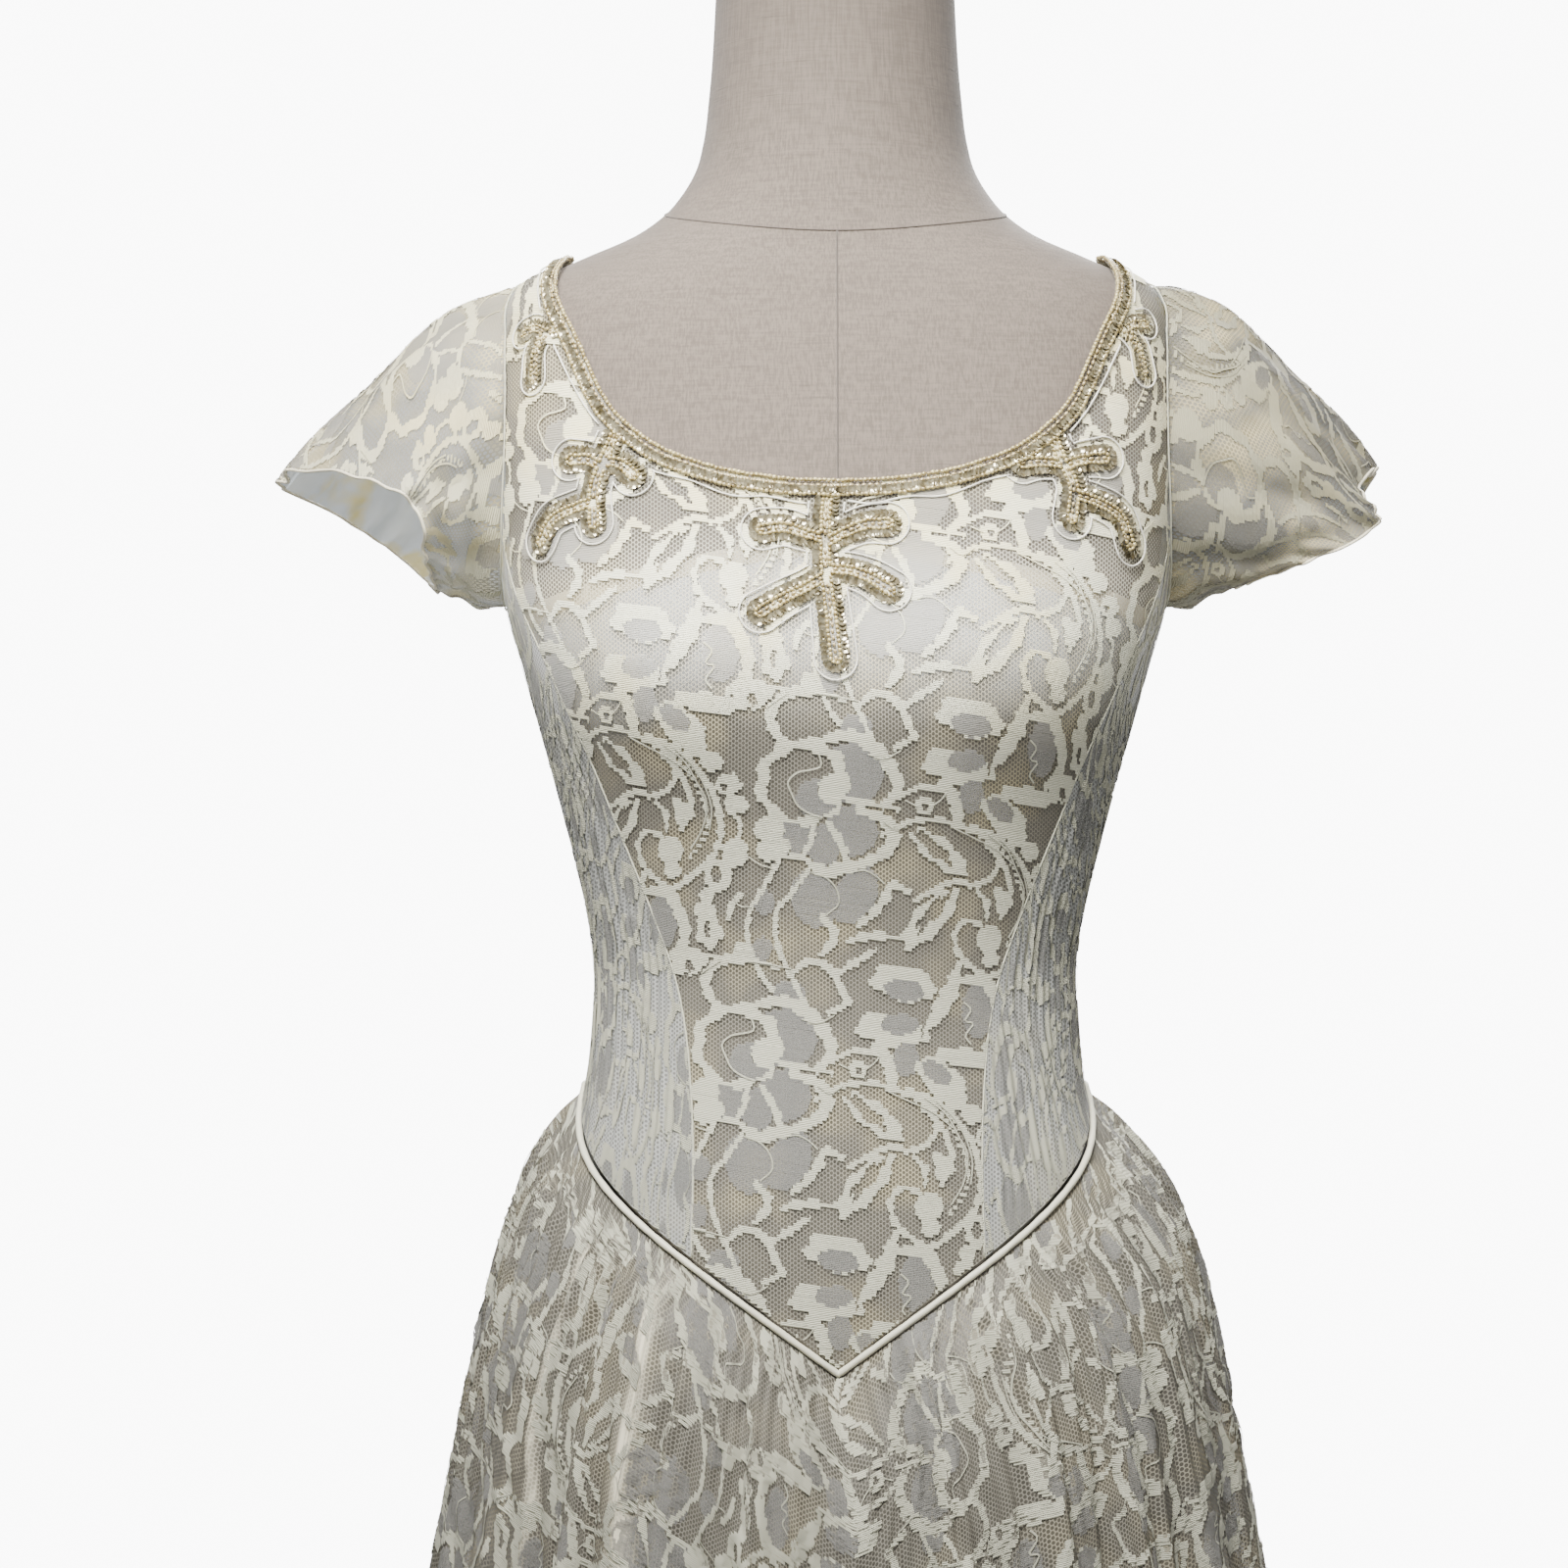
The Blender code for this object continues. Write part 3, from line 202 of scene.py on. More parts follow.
def through(xs, ys, x):
    """A smooth curve through the points (xs, ys), as cubic pieces whose end slopes are their neighbours'."""
    xs, ys = np.asarray(xs, float), np.asarray(ys, float)
    slopes = np.gradient(ys, xs)
    i = np.clip(np.searchsorted(xs, x) - 1, 0, len(xs) - 2)
    step = xs[i + 1] - xs[i]
    t = np.clip((x - xs[i]) / step, 0, 1)
    start = (1 + 2 * t) * (1 - t) ** 2 * ys[i] + t * (1 - t) ** 2 * step * slopes[i]
    return start + t * t * (3 - 2 * t) * ys[i + 1] + t * t * (t - 1) * step * slopes[i + 1]


def turned_in(angle):
    """The angle brought between minus and plus a half turn."""
    return (angle + HALF_TURN) % (2 * HALF_TURN) - HALF_TURN


def folded(angle):
    """The same place on the right half of the body."""
    angle = turned_in(angle)
    return np.where(np.abs(angle) > QUARTER, np.sign(angle) * (HALF_TURN - np.abs(angle)), angle)


def eased(low, high, x):
    """0 below low and 1 above high, with a smooth rise between."""
    t = np.clip((x - low) / (high - low), 0, 1)
    return t * t * (3 - 2 * t)


def figure_radius(angle, height):
    """Distance from the middle: a superellipse at each height, and the bust as two soft rises."""
    width = through(FIGURE[:, 0], FIGURE[:, 1], height)
    front = through(FIGURE[:, 0], FIGURE[:, 2], height)
    back = through(FIGURE[:, 0], FIGURE[:, 3], height)
    power = through(FIGURE[:, 0], FIGURE[:, 4], height)
    depth = np.where(np.sin(angle) < 0, front, back)
    across = np.abs(np.cos(angle) / width) ** power
    radius = (across + np.abs(np.sin(angle) / depth) ** power) ** (-1 / power)
    tall = np.exp(-(((height - BUST_HEIGHT) / BUST_TALL) ** 2))
    for side in (-1, 1):
        off = turned_in(angle + QUARTER - side * BUST_ANGLE) / BUST_SPREAD
        radius = radius + BUST_RISE * tall * np.exp(-(off**2))
    return radius


def skin(angle, height):
    """Point of the figure at an angle and a height."""
    angle, height = np.broadcast_arrays(np.asarray(angle, float), np.asarray(height, float))
    radius = figure_radius(angle, height)
    return np.stack([radius * np.cos(angle), radius * np.sin(angle), height], axis=-1)


def skin_normal(angle, height):
    """Outward normal of the figure, as the cross product of its slopes round and up."""
    step = 1e-3
    round_it = skin(angle + step, height) - skin(angle - step, height)
    up = skin(angle, height + step) - skin(angle, height - step)
    normal = np.cross(round_it, up)
    return normal / np.linalg.norm(normal, axis=-1, keepdims=True)


def over_skin(angle, height, lift):
    """Point moved out from the figure by lift."""
    lift = np.asarray(lift, float)[..., None]
    return skin(angle, height) + skin_normal(angle, height) * lift


def lace_lift(height):
    """Outer face of the lace: on the satin low down, and close to the bare figure at the yoke."""
    return LACE_LIFT + (YOKE_LIFT - LACE_LIFT) * eased(YOKE_START, YOKE_FULL, height)


def waist_seam(angle):
    """Height of the waist seam: a straight drop to a point in front, and a shallow dip behind."""
    angle = turned_in(np.asarray(angle, float))
    from_side = np.abs(folded(angle)) / QUARTER
    dip = WAIST_BACK_DROP * np.sin(from_side * QUARTER) ** 2
    return WAIST_SIDE - np.where(angle < 0, WAIST_POINT_DROP * from_side, dip)


def neckline(angle):
    """Height of the neck edge round the body."""
    angle = turned_in(np.asarray(angle, float))
    side = np.degrees(np.abs(folded(angle)))
    front = through(NECKLINE_FRONT[:, 0], NECKLINE_FRONT[:, 1], -side)
    return np.where(angle < 0, front, through(NECKLINE_BACK[:, 0], NECKLINE_BACK[:, 1], side))


def lining_top(angle):
    """Height of the satin's upper edge, highest in front."""
    angle = turned_in(np.asarray(angle, float))
    middle = np.abs(np.sin(angle)) ** 1.5
    top = np.where(angle < 0, LINING_TOP_FRONT, LINING_TOP_BACK)
    return LINING_TOP_SIDE + (top - LINING_TOP_SIDE) * middle


def armhole(station):
    """Angle and height of the right armhole, which runs forward from the shoulder, under and up the back."""
    turn = np.asarray(station, float) * 2 * HALF_TURN / ARMHOLE_STATIONS
    reach = np.where(np.sin(turn) > 0, ARMHOLE_FRONT, ARMHOLE_BACK)
    middle = (SHOULDER_HEIGHT + UNDERARM_HEIGHT) / 2
    tall = (SHOULDER_HEIGHT - UNDERARM_HEIGHT) / 2
    return np.stack([-reach * np.sin(turn), middle + tall * np.cos(turn)], axis=-1)


def in_armhole(side, height, margin):
    """Whether a place on the right half lies in the armhole, or within a margin of it."""
    reach = np.where(side < 0, ARMHOLE_FRONT, ARMHOLE_BACK)
    middle = (SHOULDER_HEIGHT + UNDERARM_HEIGHT) / 2
    tall = (SHOULDER_HEIGHT - UNDERARM_HEIGHT) / 2
    return (side / reach) ** 2 + ((height - middle) / tall) ** 2 < (1 + margin) ** 2


def princess(height):
    """Angle of the princess seam on the right half, as far up as the armhole."""
    return np.radians(through(PRINCESS[:, 0], PRINCESS[:, 1], height))


def patch(left, right, bottom, top, lean=1.0):
    """Grid of angles and heights between four edges: the Coons patch. A lean makes each row climb late."""
    rows, columns = len(left), len(bottom)
    v = np.linspace(0, 1, rows)[:, None, None]
    even = np.linspace(0, 1, columns)
    u = np.stack([even, even**lean], axis=-1)[None]
    ruled = left[:, None] * (1 - u) + right[:, None] * u
    low = bottom[None] - (bottom[0] * (1 - u[0]) + bottom[-1] * u[0])[None]
    high = top[None] - (top[0] * (1 - u[0]) + top[-1] * u[0])[None]
    return ruled + (1 - v) * low + v * high


def line(start, end, count):
    return np.linspace(np.asarray(start, float), np.asarray(end, float), count)


def mirrored(grid):
    """The same angles and heights on the left side of the body."""
    return np.stack([-HALF_TURN - grid[..., 0], grid[..., 1]], axis=-1)


def princess_edge(rows):
    """The princess seam from the waist up to the armhole."""
    junction = armhole(PRINCESS_STATION)
    foot = math.radians(PRINCESS[0, 1])
    heights = np.linspace(float(waist_seam(foot)) + PIPING_ROOM, junction[1], rows)
    angles = princess(heights)
    angles[-1] = junction[0]
    return np.stack([angles, heights], axis=-1)


def waist_edge(start, end, count):
    angles = np.linspace(start, end, count)
    return np.stack([angles, waist_seam(angles) + PIPING_ROOM], axis=-1)


def neck_angles(start, end, count):
    """Angles evenly spaced along the neck edge."""
    fine = np.linspace(start, end, 400)
    edge = skin(fine, neckline(fine))
    length = np.concatenate([[0], np.cumsum(np.linalg.norm(np.diff(edge, axis=0), axis=1))])
    return np.interp(np.linspace(0, length[-1], count), length, fine)


def front_half(low_rows=60, arm_rows=40, columns=26):
    """Right half of the front panel, from the centre to the princess seam, the armhole and the shoulder."""
    seam = princess_edge(low_rows)
    arm = armhole(np.linspace(PRINCESS_STATION, 0, arm_rows))
    arm[0] = seam[-1]
    arm[-1, 0] -= SHOULDER_GAP
    foot = float(waist_seam(-QUARTER)) + PIPING_ROOM
    low = line((-QUARTER, foot), (-QUARTER, neckline(-QUARTER)), low_rows)
    angles = neck_angles(-QUARTER, -SHOULDER_GAP, len(arm))
    neck = np.stack([angles, neckline(angles)], axis=-1)
    left = np.concatenate([low, neck[1:]])
    right = np.concatenate([seam, arm[1:]])
    bottom = waist_edge(-QUARTER, seam[0, 0], columns)
    return patch(left, right, bottom, line(left[-1], right[-1], columns))


def side_front(rows=60, columns=22):
    """From the princess seam round to the side seam, under the armhole."""
    left = princess_edge(rows)
    right = line((0.0, WAIST_SIDE + PIPING_ROOM), (0.0, UNDERARM_HEIGHT), rows)
    bottom = waist_edge(left[0, 0], right[0, 0], columns)
    top = armhole(np.linspace(PRINCESS_STATION, ARMHOLE_STATIONS / 2, columns))
    top[0], top[-1] = left[-1], right[-1]
    return patch(left, right, bottom, top)


def half_back(low_rows=60, arm_rows=40, columns=34):
    """From the side seam and the back of the armhole round to the centre back and the back neck."""
    side = line((0.0, WAIST_SIDE + PIPING_ROOM), (0.0, UNDERARM_HEIGHT), low_rows)
    arm = armhole(np.linspace(ARMHOLE_STATIONS / 2, ARMHOLE_STATIONS, arm_rows))
    arm[-1, 0] += SHOULDER_GAP
    left = np.concatenate([side, arm[1:]])
    foot = float(waist_seam(QUARTER)) + PIPING_ROOM
    centre = line((QUARTER, foot), (QUARTER, neckline(QUARTER)), low_rows)
    angles = np.linspace(QUARTER, left[-1, 0], len(arm))
    neck = np.stack([angles, neckline(angles)], axis=-1)
    right = np.concatenate([centre, neck[1:]])
    bottom = waist_edge(0.0, QUARTER, columns)
    return patch(left, right, bottom, line(left[-1], right[-1], columns), 2.0)


def flare(angle, drop):
    """How far the skirt stands out: a quick puff under the seam, then a steady slope."""
    forward = np.maximum(-np.sin(angle), 0)
    slope = FLARE_BACK + (FLARE_FRONT - FLARE_BACK) * forward**2
    below = np.maximum(drop - PIPING_ROOM, 0)
    return slope * below + PUFF * (1 - np.exp(-below / PUFF_DROP))


def fold_depths(drop):
    """Depth of the small gathers, which fade, and of the long folds, which grow."""
    below = np.maximum(drop - PIPING_ROOM, 0)
    gather = GATHER_DEPTH * (1 - np.exp(-below / GATHER_RISE)) * np.exp(-below / GATHER_FADE)
    fold = FOLD_DEPTH * (1 - np.exp(-((np.maximum(drop, 0) / FOLD_RISE) ** 1.3)))
    return gather, fold


def fold_strength(angle):
    """Folds are deeper in some places round the skirt than in others."""
    return 0.86 + 0.10 * np.sin(3 * angle + 0.4) + 0.07 * np.sin(8 * angle + 1.3)


def gathered_angle(share):
    """Where each share of the gathered cloth lies round the seam."""
    turn = share * 2 * HALF_TURN
    return turn + 0.035 * np.sin(4 * turn) + 0.018 * np.sin(12 * turn)


def hang(angle, drop, out):
    """Point that hangs below the waist seam and stands out from it."""
    seam = waist_seam(angle)
    radius = figure_radius(angle, seam) + out
    x = radius * np.cos(angle) + SKIRT_LEAN * eased(0.0, 0.06, drop)
    return np.stack([x, radius * np.sin(angle), seam - drop], axis=-1)


def crease(share, drop):
    """The creases set by hand: each a bell across, with a wavy course, fading in and out down its length."""
    total = 0.0
    below = np.maximum(drop - PIPING_ROOM, 0)
    for middle, half, height, start, end in CREASES:
        course = middle + 0.0016 * np.sin(drop * 38 + middle * 90)
        bell = np.exp(-(((share - course) / half) ** 2))
        length = eased(start, start + 0.02, below) * (1 - eased(end * 0.5, end, below))
        total = total + height * bell * length
    wander = 3 * np.sin(drop * 24) + 1.5 * np.sin(drop * 55 + share * 70)
    fine = 0.0012 * np.sin(share * 930 + wander) * np.exp(-below / 0.16) * eased(0, 0.01, below)
    fine = fine + 0.0010 * np.sin(share * 517 + 2 * wander) * np.exp(-below / 0.40) * eased(0.01, 0.06, below)
    return total + fine


def skirt_valley_shade(share, drop):
    """How far a place on the skirt lies down between its gathers and folds, from 0 to 1."""
    below = np.maximum(drop - PIPING_ROOM, 0)
    wander = 0.25 * np.sin(drop * 21 + share * 40)
    ridge = 0.5 - 0.5 * np.cos(2 * HALF_TURN * GATHERS * share + wander)
    broad = 0.5 - 0.5 * np.cos(HALF_TURN * GATHERS * share + wander)
    uneven = 0.5 + 0.5 * np.sin(share * 171 + 1.0 + 2 * np.sin(drop * 9))
    near = ridge**2 * (0.35 + 0.65 * uneven) * np.exp(-below / 0.10)
    return np.clip(near * 0.9 + broad**2 * (0.30 + 0.50 * eased(0.0, 0.25, below)), 0, 1)


def skirt_point(share, drop, lift=0.0):
    """The gathered lace: gathers that run together in pairs into the long folds, and the creases on them."""
    share, drop = np.broadcast_arrays(np.asarray(share, float), np.asarray(drop, float))
    angle = gathered_angle(share)
    gather, fold = fold_depths(drop)
    ridge = 0.5 - 0.5 * np.cos(2 * HALF_TURN * GATHERS * share)
    broad = 0.5 - 0.5 * np.cos(HALF_TURN * GATHERS * share)
    depth = (gather * ridge + fold * broad) * fold_strength(angle)
    out = LACE_LIFT - NET_SINK + flare(angle, drop) - depth + crease(share, drop) + lift
    return hang(angle, drop, out)


def underskirt_point(angle, drop):
    """The underskirt hangs inside the deepest fold of the lace, in a few soft flutes."""
    gather, fold = fold_depths(drop)
    clear = LINING_CLEARANCE * (1 - np.exp(-drop / LINING_RISE))
    wave = LINING_WAVE_DEPTH * np.clip(drop, 0, 1) * (0.5 - 0.5 * np.cos(LINING_WAVES * angle))
    out = SATIN_LIFT + flare(angle, drop) - LINING_INSIDE_FOLDS * (gather + fold) - clear - wave
    return hang(angle, drop, out)


class Sleeve:
    """Cap sleeve from the armhole out to its hem. It swells between, and its head is eased into the seam."""

    def __init__(self, side):
        hem = np.array(SLEEVE_HEMS[side], float)
        self.flip = np.array([1 if side == "right" else -1, 1, 1])
        self.puff = SLEEVE_PUFF * (1.0 if side == "right" else 0.70)
        self.looped = np.concatenate([hem[-3:] - [360, 0, 0, 0], hem, hem[:3] + [360, 0, 0, 0]])
        every = np.linspace(0, ARMHOLE_STATIONS, 80, endpoint=False)
        self.middles = self.start(every).mean(0), self.end(every).mean(0)
        self.length = float(np.linalg.norm(self.end(np.zeros(1)) - self.start(np.zeros(1))))

    def start(self, station):
        inside = armhole(station)
        middle = np.array([0.0, (SHOULDER_HEIGHT + UNDERARM_HEIGHT) / 2])
        inside = middle + (inside - middle) * (1 - SLEEVE_INSET)
        return over_skin(inside[..., 0], inside[..., 1], lace_lift(inside[..., 1]))

    def end(self, station):
        turn = np.asarray(station, float) * 360 / ARMHOLE_STATIONS
        return np.stack([through(self.looped[:, 0], self.looped[:, k], turn) for k in (1, 2, 3)], axis=-1)

    def at(self, station, share, lift=0.0):
        station, share = np.broadcast_arrays(np.asarray(station, float), np.asarray(share, float))
        station = station % ARMHOLE_STATIONS
        s = share[..., None]
        points = self.start(station) * (1 - s) + self.end(station) * s
        axis = self.middles[0] * (1 - s) + self.middles[1] * s
        outward = points - axis
        outward = outward / np.linalg.norm(outward, axis=-1, keepdims=True)
        turn = station * 2 * HALF_TURN / ARMHOLE_STATIONS
        head = 0.5 + 0.5 * np.cos(turn)
        swell = self.puff * (SLEEVE_SWELL_BELOW + (1 - SLEEVE_SWELL_BELOW) * head)
        swell = swell * np.sin(HALF_TURN * np.clip(share, 0, 1) ** 0.7)
        gathers = 0.5 - 0.5 * np.cos(2 * HALF_TURN * SLEEVE_GATHERS * station / ARMHOLE_STATIONS)
        ease = SLEEVE_GATHER_DEPTH * head * gathers * np.sin(HALF_TURN * np.clip(share, 0, 1) ** 0.5)
        crumple = 0.0034 * np.sin(HALF_TURN * share**0.8) * np.sin(3 * turn + 5 * share) * np.sin(7 * turn - 3 * share + 1)
        crumple = crumple + 0.0014 * share * np.sin(13 * turn + 9 * share) * np.sin(5 * turn - 6 * share)
        scallop = 0.0022 * eased(0.75, 1.0, share) * np.sin(17 * turn + 1.5 * np.sin(5 * turn))
        points = points + outward * (swell - ease + crumple + scallop - NET_SINK + lift)[..., None]
        stand = SLEEVE_STAND * np.sin(QUARTER * np.minimum(share * 4, 1))
        points = points + np.array([1.0, 0, 0]) * stand[..., None]
        return points * self.flip


class Around:
    """Arc length round the figure at each height, from a middle angle, and back again, from two tables."""

    def __init__(self, middle):
        self.heights = np.linspace(0.86, 1.46, 121)
        turns = np.linspace(-HALF_TURN, HALF_TURN, 721)
        ring = skin(middle + turns[None], self.heights[:, None])
        steps = np.linalg.norm(np.diff(ring, axis=1), axis=2)
        arcs = np.concatenate([np.zeros((len(ring), 1)), np.cumsum(steps, axis=1)], axis=1)
        arcs = arcs - arcs[:, 360:361]
        self.middle, self.turns, self.arcs = middle, turns, arcs
        self.lengths = np.linspace(-0.5, 0.5, 1001)
        self.angles = np.stack([np.interp(self.lengths, row, turns) for row in arcs])

    @staticmethod
    def look_up(table, xs, ys, x, y):
        """Value between four neighbours of a regular table."""
        i = np.clip((y - ys[0]) / (ys[1] - ys[0]), 0, len(ys) - 1.001)
        j = np.clip((x - xs[0]) / (xs[1] - xs[0]), 0, len(xs) - 1.001)
        a, b = i.astype(int), j.astype(int)
        s, t = i - a, j - b
        low = table[a, b] * (1 - t) + table[a, b + 1] * t
        return low * (1 - s) + (table[a + 1, b] * (1 - t) + table[a + 1, b + 1] * t) * s

    def arc(self, angle, height):
        return self.look_up(self.arcs, self.turns, self.heights, turned_in(angle - self.middle), height)

    def angle(self, arc, height):
        return self.middle + self.look_up(self.angles, self.lengths, self.heights, arc, height)


# The lace pattern. Its repeat is drawn from rounded shapes and strokes, in millimetres from the
# middle of the rose, and each is painted over those before it.
# A blob is (fill, centre, half sizes, turn in degrees, number of scallops, their depth).
# A stroke is (fill, width at its middle, width at its ends, points).
ROSE = (
    (HALF, (24, 4), (16, 15), 0, 0, 0),
    (HALF, (24, -25), (13, 13), 20, 0, 0),
    (HALF, (-4, -29), (11, 10), 0, 0, 0),
    (HALF, (11, -32), (8, 11), 0, 0, 0),
    (FULL, 9.5, 5.0, ((8, 20), (21, 23), (34, 18), (43, 8), (47, -4), (40, -12))),
    (FULL, 3.4, 2.6, ((22, -9), (35, -11.5), (47, -14))),
    (FULL, 9.0, 5.0, ((28, -14), (41, -20), (45, -28), (39, -37), (28, -42))),
    (FULL, 9.0, 5.0, ((32, -41), (20, -44), (11, -46), (4, -42))),
    (FULL, 4.8, 3.4, ((13, -21), (19, -32), (22, -41))),
    (FULL, 3.4, 2.8, ((6, -22), (4, -31), (0, -38))),
    (FULL, 3.0, 3.0, ((-8, -38), (0, -39), (6, -42))),
    (FULL, (-16, -24), (7.5, 6.5), 0, 0, 0),
    (FULL, (-14, -34), (8.5, 6.5), 20, 0, 0),
    (FULL, (0, 0), (23, 22), 0, 9, 0.05),
    (OPEN, (0, -1), (17, 17.4), 0, 7, 0.05),
    (HALF, (7, -8), (10.5, 9.5), 0, 0, 0),
    (FULL, (14.5, -4), (7, 7.5), 20, 0, 0),
)
TULIP = (
    (FULL, (82, 32), (17, 9), -16, 5, 0.10),
    (HALF, (82, 28.5), (10, 5.8), -10, 0, 0),
    (FULL, (76, 8), (18, 8.5), -10, 5, 0.10),
    (HALF, (80, 11), (9.4, 5.4), -5, 0, 0),
    (OPEN, 2.0, 1.6, ((100, 29), (93, 18), (91, 4))),
    (FULL, 12.0, 3.0, ((110, 42), (105, 27), (99, 17), (93, 8))),
    (HALF, (120, 17), (9, 14), 0, 0, 0),
    (FULL, 9.0, 5.5, ((113, 33), (123, 33), (130, 23), (133, 14), (131, 4), (124, -2))),
    (FULL, (114, -7), (17, 4.8), -8, 7, 0.10),
    (FULL, 9.0, 7.0, ((69, 0), (74, -8), (76, -19))),
    (HALF, (83, -7), (6.5, 8.5), 0, 0, 0),
    (FULL, (101, -18), (16, 8.0), -42, 5, 0.08),
    (HALF, (98, -14), (8.6, 4.6), -35, 0, 0),
)
STEMS = (
    (FULL, 3.6, 3.4, ((39, -27), (54, -19.5), (68, -19.5), (83, -24.5), (96, -31))),
    (FULL, 3.6, 3.0, ((49, -6), (60, -2), (70, -4))),
    (FULL, 4.0, 3.2, ((96, -33), (98, -41), (93, -50), (84, -53), (76, -51), (67, -54), (55, -61))),
    (FULL, 4.4, 2.0, ((87, -56), (92, -63), (92, -70))),
    (FULL, (59.5, -12), (4.6, 4.6), 45, 0, 0),
    (OPEN, (59.5, -12), (1.9, 1.9), 45, 0, 0),
    (FULL, (67.5, -36), (17.5, 6.6), -40, 7, 0.10),
    (OPEN, (64, -33.5), (11.5, 3.0), -44, 5, 0.2),
    (FULL, (62.5, -70), (19.5, 7.6), 48, 7, 0.10),
    (OPEN, (64, -67), (12.5, 3.2), 50, 5, 0.2),
    (FULL, 6.5, 3.0, ((52, -56), (44, -53), (40, -60), (35, -67), (28, -73))),
    (FULL, 6.5, 1.6, ((22, -82), (33, -79), (46, -80))),
    (FULL, 5.0, 2.6, ((18, -98), (27, -92), (36, -86))),
)
SCROLL = (
    (FULL, 3.8, 3.2, ((-69, 15), (-63, 9), (-57, 0), (-54.5, -12), (-60, -24))),
    (FULL, (-59, -15), (5, 7), 20, 3, 0.2),
    (FULL, 4.2, 3.4, ((-76, 24), (-60, 16), (-48, 3), (-41, -12), (-39.5, -25), (-43, -37), (-51, -45), (-57, -50),
                      (-65, -54.5), (-75, -50), (-83, -41), (-84, -30), (-78, -25), (-71, -27))),
    (FULL, (-66, -35), (7, 7.5), 0, 0, 0),
    (FULL, (-65, -45.5), (5, 4), 0, 0, 0),
    (FULL, (-52, 17.5), (6, 4.6), -30, 0, 0),
    (FULL, (-44, 11), (6, 5.0), -30, 0, 0),
    (FULL, (-35.5, -1), (6.5, 5.5), 0, 5, 0.12),
    (OPEN, (-38, -2), (2.0, 1.6), 0, 0, 0),
    (FULL, (-32, -11), (6.5, 4.6), -20, 0, 0),
    (FULL, 2.8, 2.2, ((-36, -14), (-30, -20), (-31, -28))),
    (FULL, (-32.5, -36), (6.6, 7.6), 0, 0, 0),
    (FULL, (-41, -48), (7, 8.4), 0, 0, 0),
    (OPEN, (-42, -47), (2.8, 4.6), 0, 0, 0),
    (FULL, (-47, -58), (4.2, 3.6), 0, 0, 0),
    (FULL, (-48, -66), (6, 5), 0, 0, 0),
    (FULL, (-46, -77), (7, 8.6), 0, 5, 0.12),
    (OPEN, (-47, -76), (1.5, 5.0), 0, 0, 0),
    (FULL, 4.4, 3.0, ((-30, -58), (-34, -63), (-36, -70))),
)
BANDS = (
    (HALF, (6, -60), (11, 15), 15, 0, 0),
    (HALF, (26, -58), (10, 16), -25, 0, 0),
    (HALF, (-18, -62), (5, 6.5), 0, 0, 0),
    (HALF, (-19, -86), (5, 6.5), 0, 0, 0),
    (HALF, (-6, -108), (8, 6), 0, 0, 0),
    (FULL, 3.0, 3.0, ((-11, -40), (-19, -55), (-25, -66), (-26.5, -79), (-23, -91), (-18, -102), (-14, -107))),
    (FULL, 3.0, 3.0, ((3, -45), (-5, -57), (-12, -66), (-12.5, -77), (-9, -91), (-3, -104), (2, -115))),
    (FULL, 6.2, 3.0, ((10, -69), (16, -79), (10, -89))),
    (FULL, (-57, -93), (10, 6.8), 10, 5, 0.12),
    (OPEN, (-57, -95), (2.4, 3.4), 20, 0, 0),
    (FULL, 2.8, 1.4, ((-51, -88), (-39, -90), (-26, -91), (-11, -96))),
    (FULL, (-29, -87), (5, 5), 0, 0, 0),
    (FULL, 7.0, 3.2, ((-27, -92), (-41, -93), (-48, -102), (-45, -112), (-38, -118))),
    (FULL, 5.4, 2.8, ((-5, -99), (3, -92.5), (13, -95), (19, -106), (22, -113), (13, -119))),
)
# Thin threads: width, points.
THREADS = (
    (0.9, ((8, 14), (9, 8), (3, 6), (-2, 5), (-7, 0), (-5, -6), (-2, -12), (4, -16), (10, -18))),
    (0.8, ((-68, 20), (-57, 11), (-51, 0), (-46.5, -9), (-47, -17), (-49, -24), (-55, -34))),
    (0.8, ((-62, 18), (-53, 9), (-47, -2), (-44, -13), (-45, -24))),
    (0.7, ((4, -46), (12, -49), (17, -55), (18, -62), (12, -68))),
    (0.7, ((24, -46), (30, -45), (36, -48), (40, -52))),
    (0.7, ((-26, -92), (-14, -94), (-5, -96))),
    (0.7, ((-24, -64), (-31, -63), (-33, -58))),
    (0.7, ((50, -9), (54, -11), (56, -12))),
    (0.7, ((63, -12), (68, -8), (70, -5))),
    (0.7, ((74, -23), (84, -28), (96, -34), (106, -42))),
    (0.9, ((112, 22), (116, 18), (113, 12), (117, 11), (113, 4), (116, 0))),
    (0.7, ((-40, -92), (-46, -96), (-50, -99))),
    (0.7, ((16, -120), (8, -124), (0, -122))),
    (0.7, ((40, -20), (46, -24), (52, -20))),
    (0.7, ((-14, -44), (-20, -42), (-26, -38))),
)
DOT_CHAIN = ((-72, 18), (-62, 13), (-54, 4), (-49, -7), (-46, -18), (-49, -29), (-55, -38))


def smooth_path(points, step):
    """Points about a step apart on the smooth curve through some points."""
    points = np.array(points, float)
    length = np.concatenate([[0], np.cumsum(np.linalg.norm(np.diff(points, axis=0), axis=1))])
    at = np.linspace(0, length[-1], max(2, int(length[-1] / step) + 1))
    return np.stack([through(length, points[:, k], at) for k in range(points.shape[1])], axis=-1)


def repeat_steps():
    """The two steps of the repeat, in millimetres."""
    steps = np.array([STEP_DOWN, STEP_ASIDE]) * np.array([CELL, ROW]) * 1000
    steps[:, 1] += steps[:, 0] * ROW_SLOPE
    return steps


def nearest_copy(points, centre):
    """Points moved by whole repeats to lie as near a centre as they can."""
    steps = repeat_steps()
    shares = (points - centre) @ np.linalg.inv(steps)
    return points - centre - np.round(shares) @ steps


